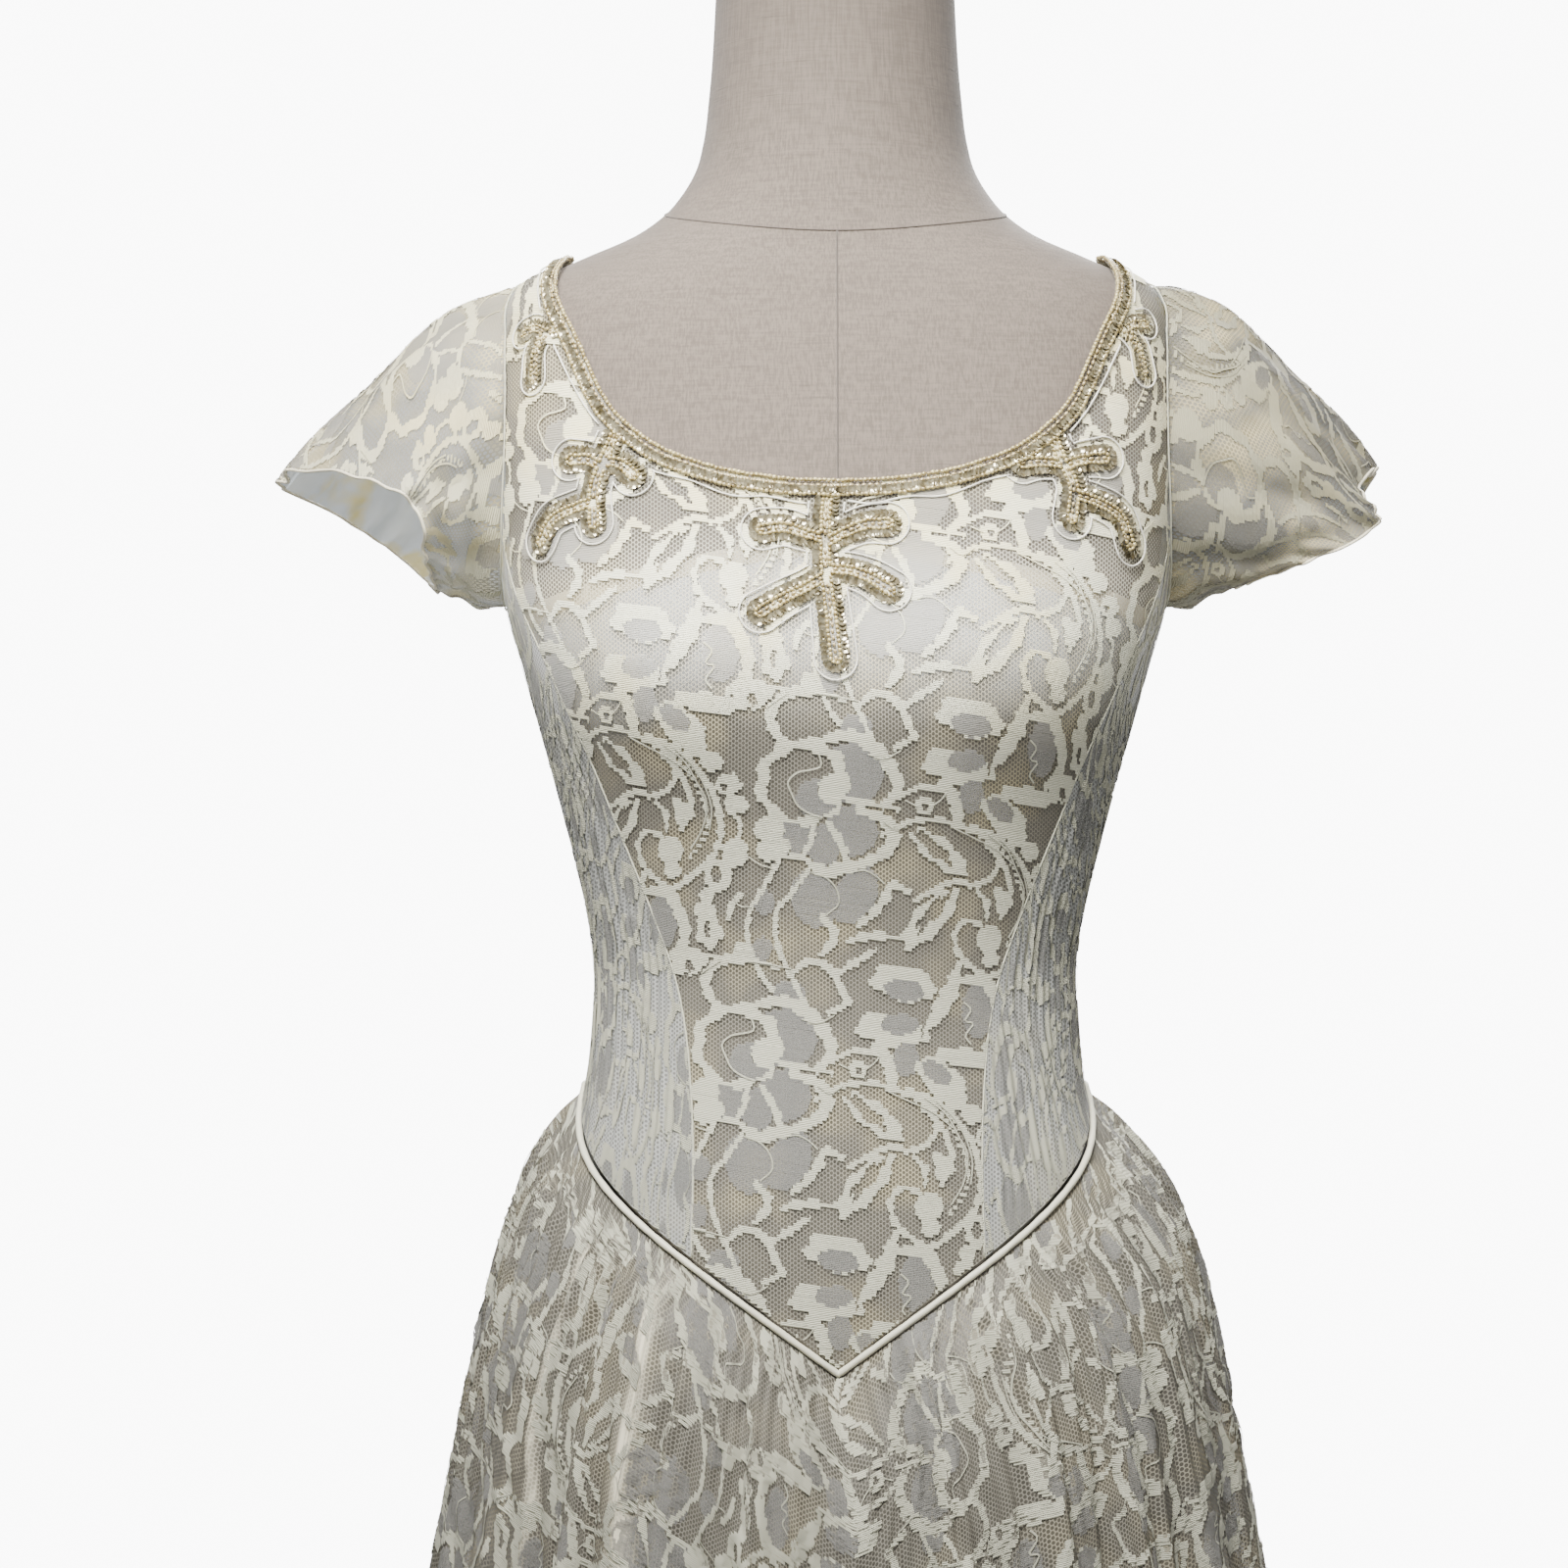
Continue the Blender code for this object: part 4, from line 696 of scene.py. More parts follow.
def blob_mask(points, centre, sizes, turn, scallops, depth):
    """Inside an ellipse whose edge waves in and out."""
    off = nearest_copy(points, np.array(centre, float))
    c, s = math.cos(math.radians(turn)), math.sin(math.radians(turn))
    x = (off[:, 0] * c + off[:, 1] * s) / sizes[0]
    y = (-off[:, 0] * s + off[:, 1] * c) / sizes[1]
    around = np.arctan2(y, x)
    return np.hypot(x, y) < 1 + depth * np.cos(scallops * around + 0.7)


def stroke_mask(points, middle, ends, course):
    """Within a stroke that is widest at its middle. A broad one has a scalloped edge."""
    path = smooth_path(course, 1.0)
    centre = (path.max(0) + path.min(0)) / 2
    off = nearest_copy(points, centre) + centre
    apart = np.linalg.norm(off[:, None] - path[None], axis=2)
    share = np.linspace(-1, 1, len(path))
    half = (0.9 + 0.60 * (ends + (middle - ends) * (1 - share**2))) / 2
    if middle > 4.1:
        half = half * (1 + 0.20 * np.cos(np.arange(len(path)) * 0.78))
    return (apart < half[None]).any(1)


def table_size():
    """Rows and columns of cells that cover the repeat once, and how far each block of rows is moved aside."""
    (down_across, down_up), (aside_across, aside_up) = STEP_DOWN, STEP_ASIDE
    rows = math.gcd(down_up, aside_up)
    columns = abs(down_across * aside_up - down_up * aside_across) // rows
    for i in range(-columns, columns):
        if (rows - i * down_up) % aside_up == 0:
            return rows, columns, i * down_across + (rows - i * down_up) // aside_up * aside_across
    raise ValueError("no repeat")


TABLE_ROWS, TABLE_COLUMNS, TABLE_SHIFT = table_size()


def lace_table():
    """What fills each cell of the repeat, as a table that covers it once."""
    rows, columns = np.mgrid[0:TABLE_ROWS, 0:TABLE_COLUMNS]
    x = (columns + 0.5 * (rows % 2)) * CELL * 1000
    y = rows * ROW * 1000 + x * ROW_SLOPE
    points = np.stack([x.ravel(), y.ravel()], axis=-1)
    fill = np.full(len(points), OPEN)
    for what, *form in BANDS + SCROLL + STEMS + TULIP + ROSE:
        mask = stroke_mask if isinstance(form[0], float) else blob_mask
        fill[mask(points, *form)] = what
    for x0, y0 in smooth_path(DOT_CHAIN, 3.6):
        fill[blob_mask(points, (x0, y0), (1.3, 1.3), 0, 0, 0)] = FULL
    return fill.reshape(TABLE_ROWS, TABLE_COLUMNS)


TABLE = lace_table()


def fill_at(column, row):
    """What fills a cell anywhere on the cloth."""
    block = row // TABLE_ROWS
    return TABLE[row % TABLE_ROWS, (column - TABLE_SHIFT * block) % TABLE_COLUMNS]


class Cut:
    """How the pattern lies on a panel: where its rose is, its tilt, its scale, and whether it is turned over."""

    def __init__(self, rose, tilt=0.0, flip=(1, 1), scale=(0.94, 0.915)):
        self.rose, self.slope = rose, ROW_SLOPE + math.tan(math.radians(tilt))
        self.flip = flip[0] * scale[0], flip[1] * scale[1]

    def cloth(self, p, q):
        """Cloth coordinates of a place in the pattern."""
        return self.rose[0] + self.flip[0] * p, self.rose[1] + self.flip[1] * (q + p * self.slope)

    def pattern(self, u, v):
        p = (u - self.rose[0]) / self.flip[0]
        return p, (v - self.rose[1]) / self.flip[1] - p * self.slope


def thread_rows(cut, bounds, inside, longest, seed):
    """Strips of thread over the filled cells of a panel, as (corners in the pattern, full or half)."""
    corners = np.array([(u, v) for u in bounds[:2] for v in bounds[2:]])
    p, q = cut.pattern(corners[:, 0], corners[:, 1])
    columns = np.arange(int(p.min() / CELL) - 1, int(p.max() / CELL) + 2)
    rows = np.arange(int(q.min() / ROW) - 1, int(q.max() / ROW) + 2)
    grid_r, grid_c = np.meshgrid(rows, columns, indexing="ij")
    fill = fill_at(grid_c, grid_r)
    x = (grid_c + 0.5 * (grid_r % 2)) * CELL
    y = grid_r * ROW
    u, v = cut.cloth(x, y)
    kept = inside(u, v)
    rng = np.random.default_rng(seed)
    found = []
    for what, tall in ((FULL, 1.04), (HALF, 1.0)):
        mask = (fill == what) & kept
        edge = np.zeros((len(rows), 1), bool)
        padded = np.concatenate([edge, mask, edge], axis=1)
        starts = np.argwhere(padded[:, 1:] & ~padded[:, :-1])
        stops = np.argwhere(~padded[:, 1:] & padded[:, :-1])
        if not len(starts):
            continue
        length = stops[:, 1] - starts[:, 1]
        pieces = np.ceil(length / longest).astype(int)
        which = np.repeat(np.arange(len(starts)), pieces)
        number = np.arange(len(which)) - np.repeat(np.cumsum(pieces) - pieces, pieces)
        row = starts[which, 0]
        shift = 0.5 * (rows[row] % 2)
        ragged = rng.uniform(-0.30, 0.30, (2, len(starts)))
        first = columns[0] + starts[:, 1] - 0.5 + ragged[0]
        last = columns[0] + stops[:, 1] - 0.5 + ragged[1]
        a = first[which] + (last - first)[which] * number / pieces[which] + shift
        b = first[which] + (last - first)[which] * (number + 1) / pieces[which] + shift
        wobble = rng.uniform(-0.05, 0.05, len(starts))[which]
        half = tall / 2
        middle = (rows[row] + wobble) * ROW
        low, high = middle - half * ROW, middle + half * ROW
        quad = np.stack([a * CELL, low, b * CELL, low, b * CELL, high, a * CELL, high], axis=-1)
        found.append((quad.reshape(-1, 4, 2), np.full(len(which), what)))
    return found


def thin_threads(cut, bounds, inside):
    """Fine outlining threads over every copy of the repeat on a panel, as corners in the pattern."""
    down, aside = repeat_steps() / 1000
    corners = np.array([(u, v) for u in bounds[:2] for v in bounds[2:]])
    p, q = cut.pattern(corners[:, 0], corners[:, 1])
    q = q + p * ROW_SLOPE
    box = (p.min() - 0.12, p.max() + 0.12, q.min() - 0.16, q.max() + 0.16)
    reach = np.arange(-16, 17)
    i, j = np.meshgrid(reach, reach)
    moves = i.reshape(-1, 1) * down + j.reshape(-1, 1) * aside
    near = (moves[:, 0] > box[0]) & (moves[:, 0] < box[1]) & (moves[:, 1] > box[2]) & (moves[:, 1] < box[3])
    moves = moves[near]
    quads = []
    for width, course in THREADS:
        path = smooth_path(course, 2.2) / 1000
        ahead = np.gradient(path, axis=0)
        aside_way = np.stack([-ahead[:, 1], ahead[:, 0]], axis=-1)
        aside_way = aside_way / np.linalg.norm(aside_way, axis=1, keepdims=True) * width / 2000
        left, right = path + aside_way, path - aside_way
        strip = np.stack([right[:-1], right[1:], left[1:], left[:-1]], axis=1)
        quads.append((moves[:, None, None] + strip[None]).reshape(-1, 4, 2))
    quads = np.concatenate(quads)
    quads[..., 1] -= quads[..., 0] * ROW_SLOPE
    u, v = cut.cloth(quads[..., 0], quads[..., 1])
    kept = inside(u, v).all(1)
    return quads[kept]


# Meshes.
def grid_faces(rows, columns, wraps=False, flip=False):
    """Four-sided faces of a grid of points."""
    last = columns if wraps else columns - 1
    r, c = np.meshgrid(np.arange(rows - 1), np.arange(last), indexing="ij")
    d = (c + 1) % columns
    quad = np.stack([r * columns + c, r * columns + d, (r + 1) * columns + d, (r + 1) * columns + c], axis=-1)
    quad = quad.reshape(-1, 4)
    return quad[:, ::-1] if flip else quad


def add_piece(name, points, faces, materials, uv=None, values=None, which=None, body="root"):
    """A finished mesh at the origin that rides on the root."""
    mesh = bpy.data.meshes.new(name)
    points = np.ascontiguousarray(points.reshape(-1, 3), dtype=np.float32)
    faces = np.ascontiguousarray(faces, dtype=np.int32)
    mesh.vertices.add(len(points))
    mesh.vertices.foreach_set("co", points.ravel())
    mesh.loops.add(faces.size)
    mesh.loops.foreach_set("vertex_index", faces.ravel())
    mesh.polygons.add(len(faces))
    mesh.polygons.foreach_set("loop_start", np.arange(0, faces.size, faces.shape[1], dtype=np.int32))
    if which is not None:
        mesh.polygons.foreach_set("material_index", np.ascontiguousarray(which, dtype=np.int32))
    mesh.update(calc_edges=True)
    mesh.shade_smooth()
    if uv is not None:
        layer = mesh.uv_layers.new(name="cloth")
        flat = np.ascontiguousarray(uv.reshape(-1, 2)[faces.ravel()], dtype=np.float32)
        layer.data.foreach_set("uv", flat.ravel())
    for key, numbers in (values or {}).items():
        made = mesh.attributes.new(key, "FLOAT", "POINT")
        made.data.foreach_set("value", np.ascontiguousarray(numbers.ravel(), dtype=np.float32))
    for material in materials if isinstance(materials, (list, tuple)) else [materials]:
        mesh.materials.append(material)
    piece = bpy.data.objects.new(name, mesh)
    bpy.context.scene.collection.objects.link(piece)
    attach(piece, body)
    return piece


def merged(piece, distance=1e-6):
    """Doubled points of a piece are joined."""
    shape = bmesh.new()
    shape.from_mesh(piece.data)
    bmesh.ops.remove_doubles(shape, verts=shape.verts, dist=distance)
    shape.to_mesh(piece.data)
    shape.free()
    return piece


def tube(path, radius, sides, closed=False, up=None, twist=0.0, ribs=0.0):
    """Points and faces of a round cord along a path. Twist turns its ribs round as it goes."""
    path = np.asarray(path, float)
    ahead = np.roll(path, -1, axis=0) - np.roll(path, 1, axis=0) if closed else np.gradient(path, axis=0)
    ahead = ahead / np.linalg.norm(ahead, axis=1, keepdims=True)
    up = np.tile([0.0, 0.0, 1.0], (len(path), 1)) if up is None else np.asarray(up, float)
    side = np.cross(ahead, up)
    side = side / np.linalg.norm(side, axis=1, keepdims=True)
    rise = np.cross(side, ahead)
    turns = np.arange(sides) * 2 * HALF_TURN / sides
    length = np.concatenate([[0], np.cumsum(np.linalg.norm(np.diff(path, axis=0), axis=1))])
    swell = 1 + ribs * np.cos(2 * turns[None] - twist * length[:, None])
    r = radius * swell[..., None]
    ring = np.cos(turns)[None, :, None] * side[:, None] + np.sin(turns)[None, :, None] * rise[:, None]
    points = path[:, None] + r * ring
    rows = len(path)
    index = np.arange(rows * sides).reshape(rows, sides)
    if closed:
        index = np.concatenate([index, index[:1]])
    a, b = index[:-1], index[1:]
    faces = np.stack([a, b, np.roll(b, -1, axis=1), np.roll(a, -1, axis=1)], axis=-1).reshape(-1, 4)
    if not closed:
        step = np.arange(1, sides - 1, 2)
        cap = np.stack([0 * step, step, step + 1, step + 2], axis=-1)
        faces = np.concatenate([faces, cap, cap[:, ::-1] + (rows - 1) * sides])
    return points.reshape(-1, 3), faces


def copies(shape_points, shape_faces, places, sides, ups, outs, sizes):
    """Copies of a small shape, each turned to its own three directions."""
    frames = np.stack([sides, ups, outs], axis=1) * np.asarray(sizes, float)[..., None, None]
    points = np.einsum("pk,nkx->npx", shape_points, frames) + places[:, None]
    faces = shape_faces[None] + (np.arange(len(places)) * len(shape_points))[:, None, None]
    return points.reshape(-1, 3), faces.reshape(-1, shape_faces.shape[1])


def joined(parts):
    """Several (points, faces) as one."""
    points, faces, count = [], [], 0
    for p, f in parts:
        points.append(p)
        faces.append(f + count)
        count += len(p)
    return np.concatenate(points), np.concatenate(faces)


# Materials.
STAIN_TONE = 0.97, 0.86, 0.60  # how an aged patch changes the colour of thread


class Wire:
    """A socket of a material. Sums on it add Math nodes."""

    def __init__(self, graph, socket):
        self.graph, self.socket = graph, socket

    def maths(self, operation, *rest):
        return self.graph.node("ShaderNodeMath", {"operation": operation}, dict(enumerate((self, *rest))))

    def __add__(self, other):
        return self.maths("ADD", other)

    def __radd__(self, other):
        return self.maths("ADD", other)

    def __sub__(self, other):
        return self.maths("SUBTRACT", other)

    def __rsub__(self, other):
        return (self * -1.0) + other

    def __mul__(self, other):
        return self.maths("MULTIPLY", other)

    def __rmul__(self, other):
        return self.maths("MULTIPLY", other)

    def clipped(self, low=0.0, high=1.0):
        """0 below low, 1 above high, even between."""
        settings = {"interpolation_type": "LINEAR", "clamp": True}
        return self.graph.node("ShaderNodeMapRange", settings, {0: self, 1: low, 2: high})

    def wave(self, shift=0.0):
        """The cosine."""
        return (self + shift).maths("COSINE")


class Graph:
    """A new material with a Principled shader, and one method that adds any other node."""

    def __init__(self, name):
        self.material = bpy.data.materials.new(name)
        self.material.use_nodes = True
        self.nodes = self.material.node_tree.nodes
        self.links = self.material.node_tree.links
        self.shader = self.nodes["Principled BSDF"]

    def node(self, kind, settings=None, inputs=None, output=0):
        made = self.nodes.new(kind)
        for key, value in (settings or {}).items():
            setattr(made, key, value)
        for key, value in (inputs or {}).items():
            self.feed(made.inputs[key], value)
        return Wire(self, made.outputs[output])

    def feed(self, socket, value):
        if isinstance(value, Wire):
            self.links.new(value.socket, socket)
        else:
            socket.default_value = value

    def place(self):
        return self.node("ShaderNodeTexCoord", output="Object")

    def cloth(self):
        return self.node("ShaderNodeUVMap", {"uv_map": "cloth"})

    def value(self, name):
        return self.node("ShaderNodeAttribute", {"attribute_name": name}, output="Fac")

    def parts(self, vector):
        made = self.nodes.new("ShaderNodeSeparateXYZ")
        self.links.new(vector.socket, made.inputs[0])
        return [Wire(self, out) for out in made.outputs]

    def stretched(self, vector, scale, turn=0.0):
        inputs = {"Vector": vector, "Scale": scale, "Rotation": (0.0, 0.0, turn)}
        return self.node("ShaderNodeMapping", None, inputs)

    def noise(self, vector, scale=1.0, detail=2.0, rough=0.5):
        inputs = {"Vector": vector, "Scale": scale, "Detail": detail, "Roughness": rough}
        return self.node("ShaderNodeTexNoise", None, inputs)

    def mix(self, share, low, high, blend="MIX"):
        low = (*low, 1.0) if isinstance(low, tuple) and len(low) == 3 else low
        high = (*high, 1.0) if isinstance(high, tuple) and len(high) == 3 else high
        settings = {"data_type": "RGBA", "blend_type": blend}
        return self.node("ShaderNodeMix", settings, {0: share, 6: low, 7: high}, output=2)

    def bump(self, height, strength, distance):
        return self.node("ShaderNodeBump", None, {"Height": height, "Strength": strength, "Distance": distance})

    def finish(self, **sockets):
        for key, value in sockets.items():
            self.feed(self.shader.inputs[key.replace("_", " ")], value)
        return self.material


def colour(rgb):
    """A colour from a user's setting."""
    return (rgb[0], rgb[1], rgb[2], 1.0)


def linen_finish(tint):
    """Plain weave: fine threads both ways, with a few thicker ones, and a dusty tone."""
    g = Graph("linen_weave")
    place = g.place()
    warp = g.noise(g.stretched(place, (1100.0, 1100.0, 45.0)), detail=3.0, rough=0.65)
    weft = g.noise(g.stretched(place, (70.0, 70.0, 800.0)), detail=3.0, rough=0.65)
    slub_up = g.noise(g.stretched(place, (480.0, 480.0, 14.0)), detail=1.0).clipped(0.64, 0.78)
    slub_over = g.noise(g.stretched(place, (30.0, 30.0, 600.0)), detail=1.0).clipped(0.66, 0.80)
    weave = warp * 1.3 + weft * 0.7 - 1.0
    soft = g.noise(g.place(), 9.0, 3.0)
    tone = g.mix((weave * 3.2 + 0.5).clipped(), tuple(c * 0.76 for c in tint), tuple(min(1, c * 1.14) for c in tint))
    tone = g.mix((slub_up + slub_over).clipped(0.0, 1.6) * 0.45, tone, tuple(c * 0.58 for c in tint))
    # Painted shade: the linen is painted darker up the neck, toward its top.
    high = g.parts(place)[2].clipped(1.46, 1.60)
    tone = g.mix(high * 0.5, tone, tuple(c * 0.68 for c in tint))
    tone = g.mix(soft * 0.18, tone, tuple(c * 0.86 for c in tint))
    relief = weave + (slub_up + slub_over) * 0.8
    g.finish(Base_Color=tone, Roughness=0.92, Normal=g.bump(relief, 0.35, 0.0004))
    g.shader.inputs["Sheen Weight"].default_value = 0.12
    return g.material


def satin_finish(name, tint, painted_sheen_tint, warm=0.0):
    """Satin: whiter where it lies over the bust, dull where it falls away, with faint threads and puckers."""
    g = Graph(name)
    x, y, z = g.parts(g.place())
    cloth = g.cloth()
    thread = g.noise(g.stretched(cloth, (80.0, 2200.0, 1.0)), detail=2.0)
    soft = g.noise(g.place(), 14.0, 3.0)
    # Painted sheen: the colour turns from the dull tint to the sheen tint with height over the bust.
    share = (z + (soft - 0.5) * 0.03 + x * x * 0.9).clipped(1.204, 1.240)
    tone = g.mix(share, tint, painted_sheen_tint)
    tone = g.mix((soft - 0.35).clipped(0.0, 0.5) * 0.25, tone, tuple(c * 0.88 for c in tint))
    if warm:
        tone = g.mix((soft.clipped(0.5, 0.7)) * warm, tone, (0.72, 0.62, 0.40))
    rough = 0.34 + thread * 0.12
    g.finish(Base_Color=tone, Roughness=rough, Normal=g.bump(thread * 0.3 + soft, 0.12, 0.001))
    g.shader.inputs["Specular IOR Level"].default_value = 0.55
    g.shader.inputs["Sheen Weight"].default_value = 0.20
    return g.material


def net_finish(name, tint, cover, stain=0.0, haze=0.0):
    """Net of six-sided holes: three cosines at 60 degrees leave thread where their sum is low.

    Haze is how far the loose fibres close the holes.
    """
    g = Graph(name)
    u, v, w = g.parts(g.cloth())
    across, along = 2 * HALF_TURN / 0.00150, 2 * HALF_TURN / 0.00210
    a = (u * across).wave()
    b = (u * (across / 2) + v * along).wave()
    c = (u * (across / 2) - v * along).wave()
    web = (cover - (a + b + c)).clipped(-0.25, 0.35)
    soft = g.noise(g.place(), 25.0, 2.0)
    tone = g.mix(soft, tuple(k * 0.92 for k in tint), tint)
    height = g.parts(g.place())[2]
    # Painted light: the net is painted lighter over the bust, where the light falls most, and less so toward the yoke.
    painted_bust_light = height.clipped(1.20, 1.24) - height.clipped(1.27, 1.30) * 0.75
    tone = g.mix(painted_bust_light, tone, tuple(min(k * 2.6, 0.8) for k in tint))
    if stain:
        tone = g.mix(soft.clipped(0.48, 0.66) * stain, tone, (0.74, 0.63, 0.34))
    pulled = g.value("pulled")
    tone = g.mix(pulled.clipped(0.0, 0.8), tone, (0.58, 0.54, 0.41))
    alpha = (web * 0.92 + pulled * 0.9 + haze).clipped()
    g.finish(Base_Color=tone, Roughness=0.80, Alpha=alpha)
    return g.material


def thread_finish(name, tint, thin, stain=0.0, see_through=1.0, low=0.50):
    """Rows of soft thread: two threads to a row, light along their crowns, and a slow change of tone.

    They are lighter over the bust, where white satin close behind shines through, and duller below: by low.
    """
    g = Graph(name)
    u, v, w = g.parts(g.cloth())
    soft = g.noise(g.place(), 22.0, 3.0)
    fine = g.noise(g.stretched(g.cloth(), (260.0, 1.5, 1.0)), detail=2.0)
    # Painted shading: each row is painted from the darker colour between its threads to the lighter one on their
    # crowns.
    crown = 0.5 - (v * (4 * HALF_TURN)).wave() * 0.5
    tone = g.mix((crown * 0.7 + fine * 0.6).clipped(0.05, 0.85), thin, tint)
    tone = g.mix(soft.clipped(0.45, 0.75) * 0.30, tone, tuple(k * 0.86 for k in tint))
    if stain:
        tone = g.mix(soft.clipped(0.46, 0.64) * stain, tone, tuple(k * s for k, s in zip(tint, STAIN_TONE)))
    height = g.parts(g.place())[2]
    tone = g.mix(height.clipped(1.26, 1.34) * 0.40, tone, tuple(k * s for k, s in zip(tint, STAIN_TONE)))
    # Painted light and shade: the thread is lighter over the bust and scaled down by low below it.
    painted_bust_light = height.clipped(1.190, 1.245) - height.clipped(1.27, 1.30) * (0.30 if see_through < 1.0 else 0.0)
    tone = g.mix(painted_bust_light, tuple(k * low for k in tint), tone)
    # Painted shade: the thread is painted darker in the skirt's gather valleys.
    tone = g.mix(g.value("valley_shade") * 0.80, tone, tuple(k * 0.22 for k in tint))
    g.finish(Base_Color=tone, Roughness=0.72, Normal=g.bump(crown, 0.6, 0.0004))
    g.shader.inputs["Sheen Weight"].default_value = 0.15
    if see_through < 1.0:
        g.shader.inputs["Alpha"].default_value = see_through
    return g.material


def cord_finish(name, tint, rough=0.5):
    g = Graph(name)
    fine = g.noise(g.place(), 1400.0, 2.0)
    soft = g.noise(g.place(), 30.0, 2.0)
    tone = g.mix(fine * 0.5 + soft * 0.4, tuple(k * 0.78 for k in tint), tint)
    g.finish(Base_Color=tone, Roughness=rough, Normal=g.bump(fine, 0.3, 0.0003))
    g.shader.inputs["Sheen Weight"].default_value = 0.2
    return g.material


def bead_finish(name, tint, dark, rough, metal, coat=0.0):
    """Small glass or foil pieces that differ from one to the next."""
    g = Graph(name)
    spots = g.noise(g.place(), 420.0, 1.0)
    tone = g.mix(spots.clipped(0.35, 0.65), dark, tint)
    g.finish(Base_Color=tone, Roughness=(spots * 0.2) + rough, Metallic=metal)
    g.shader.inputs["Coat Weight"].default_value = coat
    g.shader.inputs["Coat Roughness"].default_value = 0.08
    return g.material


def enamel_finish():
    """Powder coat with a faint grain and worn edges near the floor."""
    g = Graph("stand_enamel")
    x, y, z = g.parts(g.place())
    grain = g.noise(g.place(), 700.0, 2.0)
    soft = g.noise(g.place(), 12.0, 3.0)
    tone = g.mix(soft, (0.70, 0.69, 0.66), (0.80, 0.79, 0.76))
    scuff = (1.0 - z.clipped(0.002, 0.012)) * soft.clipped(0.5, 0.7)
    tone = g.mix(scuff * 0.6, tone, (0.35, 0.34, 0.33))
    g.finish(Base_Color=tone, Roughness=0.36 + grain * 0.15, Normal=g.bump(grain, 0.15, 0.0003))
    return g.material


def floor_finish():
    g = Graph("studio_floor")
    soft = g.noise(g.place(), 2.0, 2.0)
    g.finish(Base_Color=g.mix(soft, (0.80, 0.80, 0.79), (0.84, 0.84, 0.83)), Roughness=0.85)
    return g.material


# Pieces.
FRONT_ARCS = Around(-QUARTER)
BACK_ARCS = Around(QUARTER)


def puckers(angle, height):
    """Fine upright puckers where the side panels' lace is drawn together, with a wandering course."""
    side = folded(angle)
    past = side - princess(np.minimum(height, armhole(PRINCESS_STATION)[1]))
    there = eased(0.0, 0.09, past) * (1 - eased(-0.10, -0.01, side)) * (turned_in(angle) < 0)
    there = there * (1 - eased(1.17, 1.25, height)) * eased(0, 0.03, height - waist_seam(angle))
    phase = angle * 150 + 2.2 * np.sin(height * 42) + 1.3 * np.sin(height * 95 + angle * 9)
    return PUCKER_DEPTH * there * (np.sin(phase) + 0.5 * np.sin(phase * 0.43 + 1.0))


def bodice_surface(arcs):
    """Place on a bodice panel's lace from its arc length and height."""

    def place(u, v, lift):
        angle = arcs.angle(u, v)
        return over_skin(angle, v, lace_lift(v) - NET_SINK + lift + puckers(angle, v))

    return place


def bodice_inside(arcs, part, hand=0):
    """Whether a place lies on that panel: front, side or back, and right (1) or left (-1)."""
    junction = armhole(PRINCESS_STATION)

    def inside(u, v):
        angle = arcs.angle(u, v)
        side = folded(angle)
        kept = (v > waist_seam(angle) + PIPING_ROOM + 0.0008) & (v < neckline(angle) - 0.0012)
        kept &= (np.abs(u) < 0.32) & ~in_armhole(side, v, 0.012)
        seam = princess(np.clip(v, 0.9, junction[1]))
        low = v < junction[1]
        if part == "front":
            kept &= (side < 0) & (~low | (side < seam - 0.004)) & (turned_in(angle) < 0)
        if part == "side":
            kept &= (side < -0.004) & low & (side > seam + 0.004) & (turned_in(angle) < 0)
        if part == "back":
            kept &= turned_in(angle) > 0.006
        if hand:
            kept &= hand * np.cos(angle) > 0.0006
        return kept

    return inside


def add_threads(name, cut, bounds, inside, surface, finishes, longest, seed, valley_shade=None):
    """The thread rows and fine threads of one panel, as strips laid over its net."""
    rows = thread_rows(cut, bounds, inside, longest, seed)
    corners = np.concatenate([quad for quad, _ in rows])
    which = np.concatenate([np.where(what == FULL, 0, 1) for _, what in rows])
    lift = np.full(len(corners), THREAD_LIFT)
    thin = thin_threads(cut, bounds, inside)
    corners = np.concatenate([corners, thin])
    which = np.concatenate([which, np.full(len(thin), 2)])
    lift = np.concatenate([lift, np.full(len(thin), THREAD_LIFT + 0.0003)])
    u, v = cut.cloth(corners[..., 0], corners[..., 1])
    points = surface(u, v, lift[:, None] + 0 * u)
    faces = np.arange(len(corners) * 4).reshape(-1, 4)
    if cut.flip[0] * cut.flip[1] < 0:
        faces = faces[:, ::-1]
    across = np.broadcast_to(np.array([0.0, 0.0, 1.0, 1.0]), u.shape)
    uv = np.stack([corners[..., 0], across], axis=-1)
    # The skirt's thread gets its painted shade in the gather valleys from this; other panels get none.
    values = {"valley_shade": valley_shade(u, v) if valley_shade else np.zeros(u.shape)}
    return add_piece(name, points, faces, finishes, uv, values, which)


def replace(piece, slot, *nodes):
    if nodes:
        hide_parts(*nodes)
    return piece


def fitted_net(name, grids, arcs, finish):
    """Net shell of one bodice panel, from its grids of angles and heights."""
    parts, uvs = [], []
    for grid, flip in grids:
        angle, height = grid[..., 0], grid[..., 1]
        points = over_skin(angle, height, lace_lift(height) - NET_SINK + puckers(angle, height))
        parts.append((points.reshape(-1, 3), grid_faces(*angle.shape, flip=flip)))
        uvs.append(np.stack([arcs.arc(angle, height), height], axis=-1).reshape(-1, 2))
    points, faces = joined(parts)
    piece = add_piece(name, points, faces, finish, np.concatenate(uvs), {"pulled": np.zeros(len(points))})
    return merged(piece) if len(grids) > 1 else piece


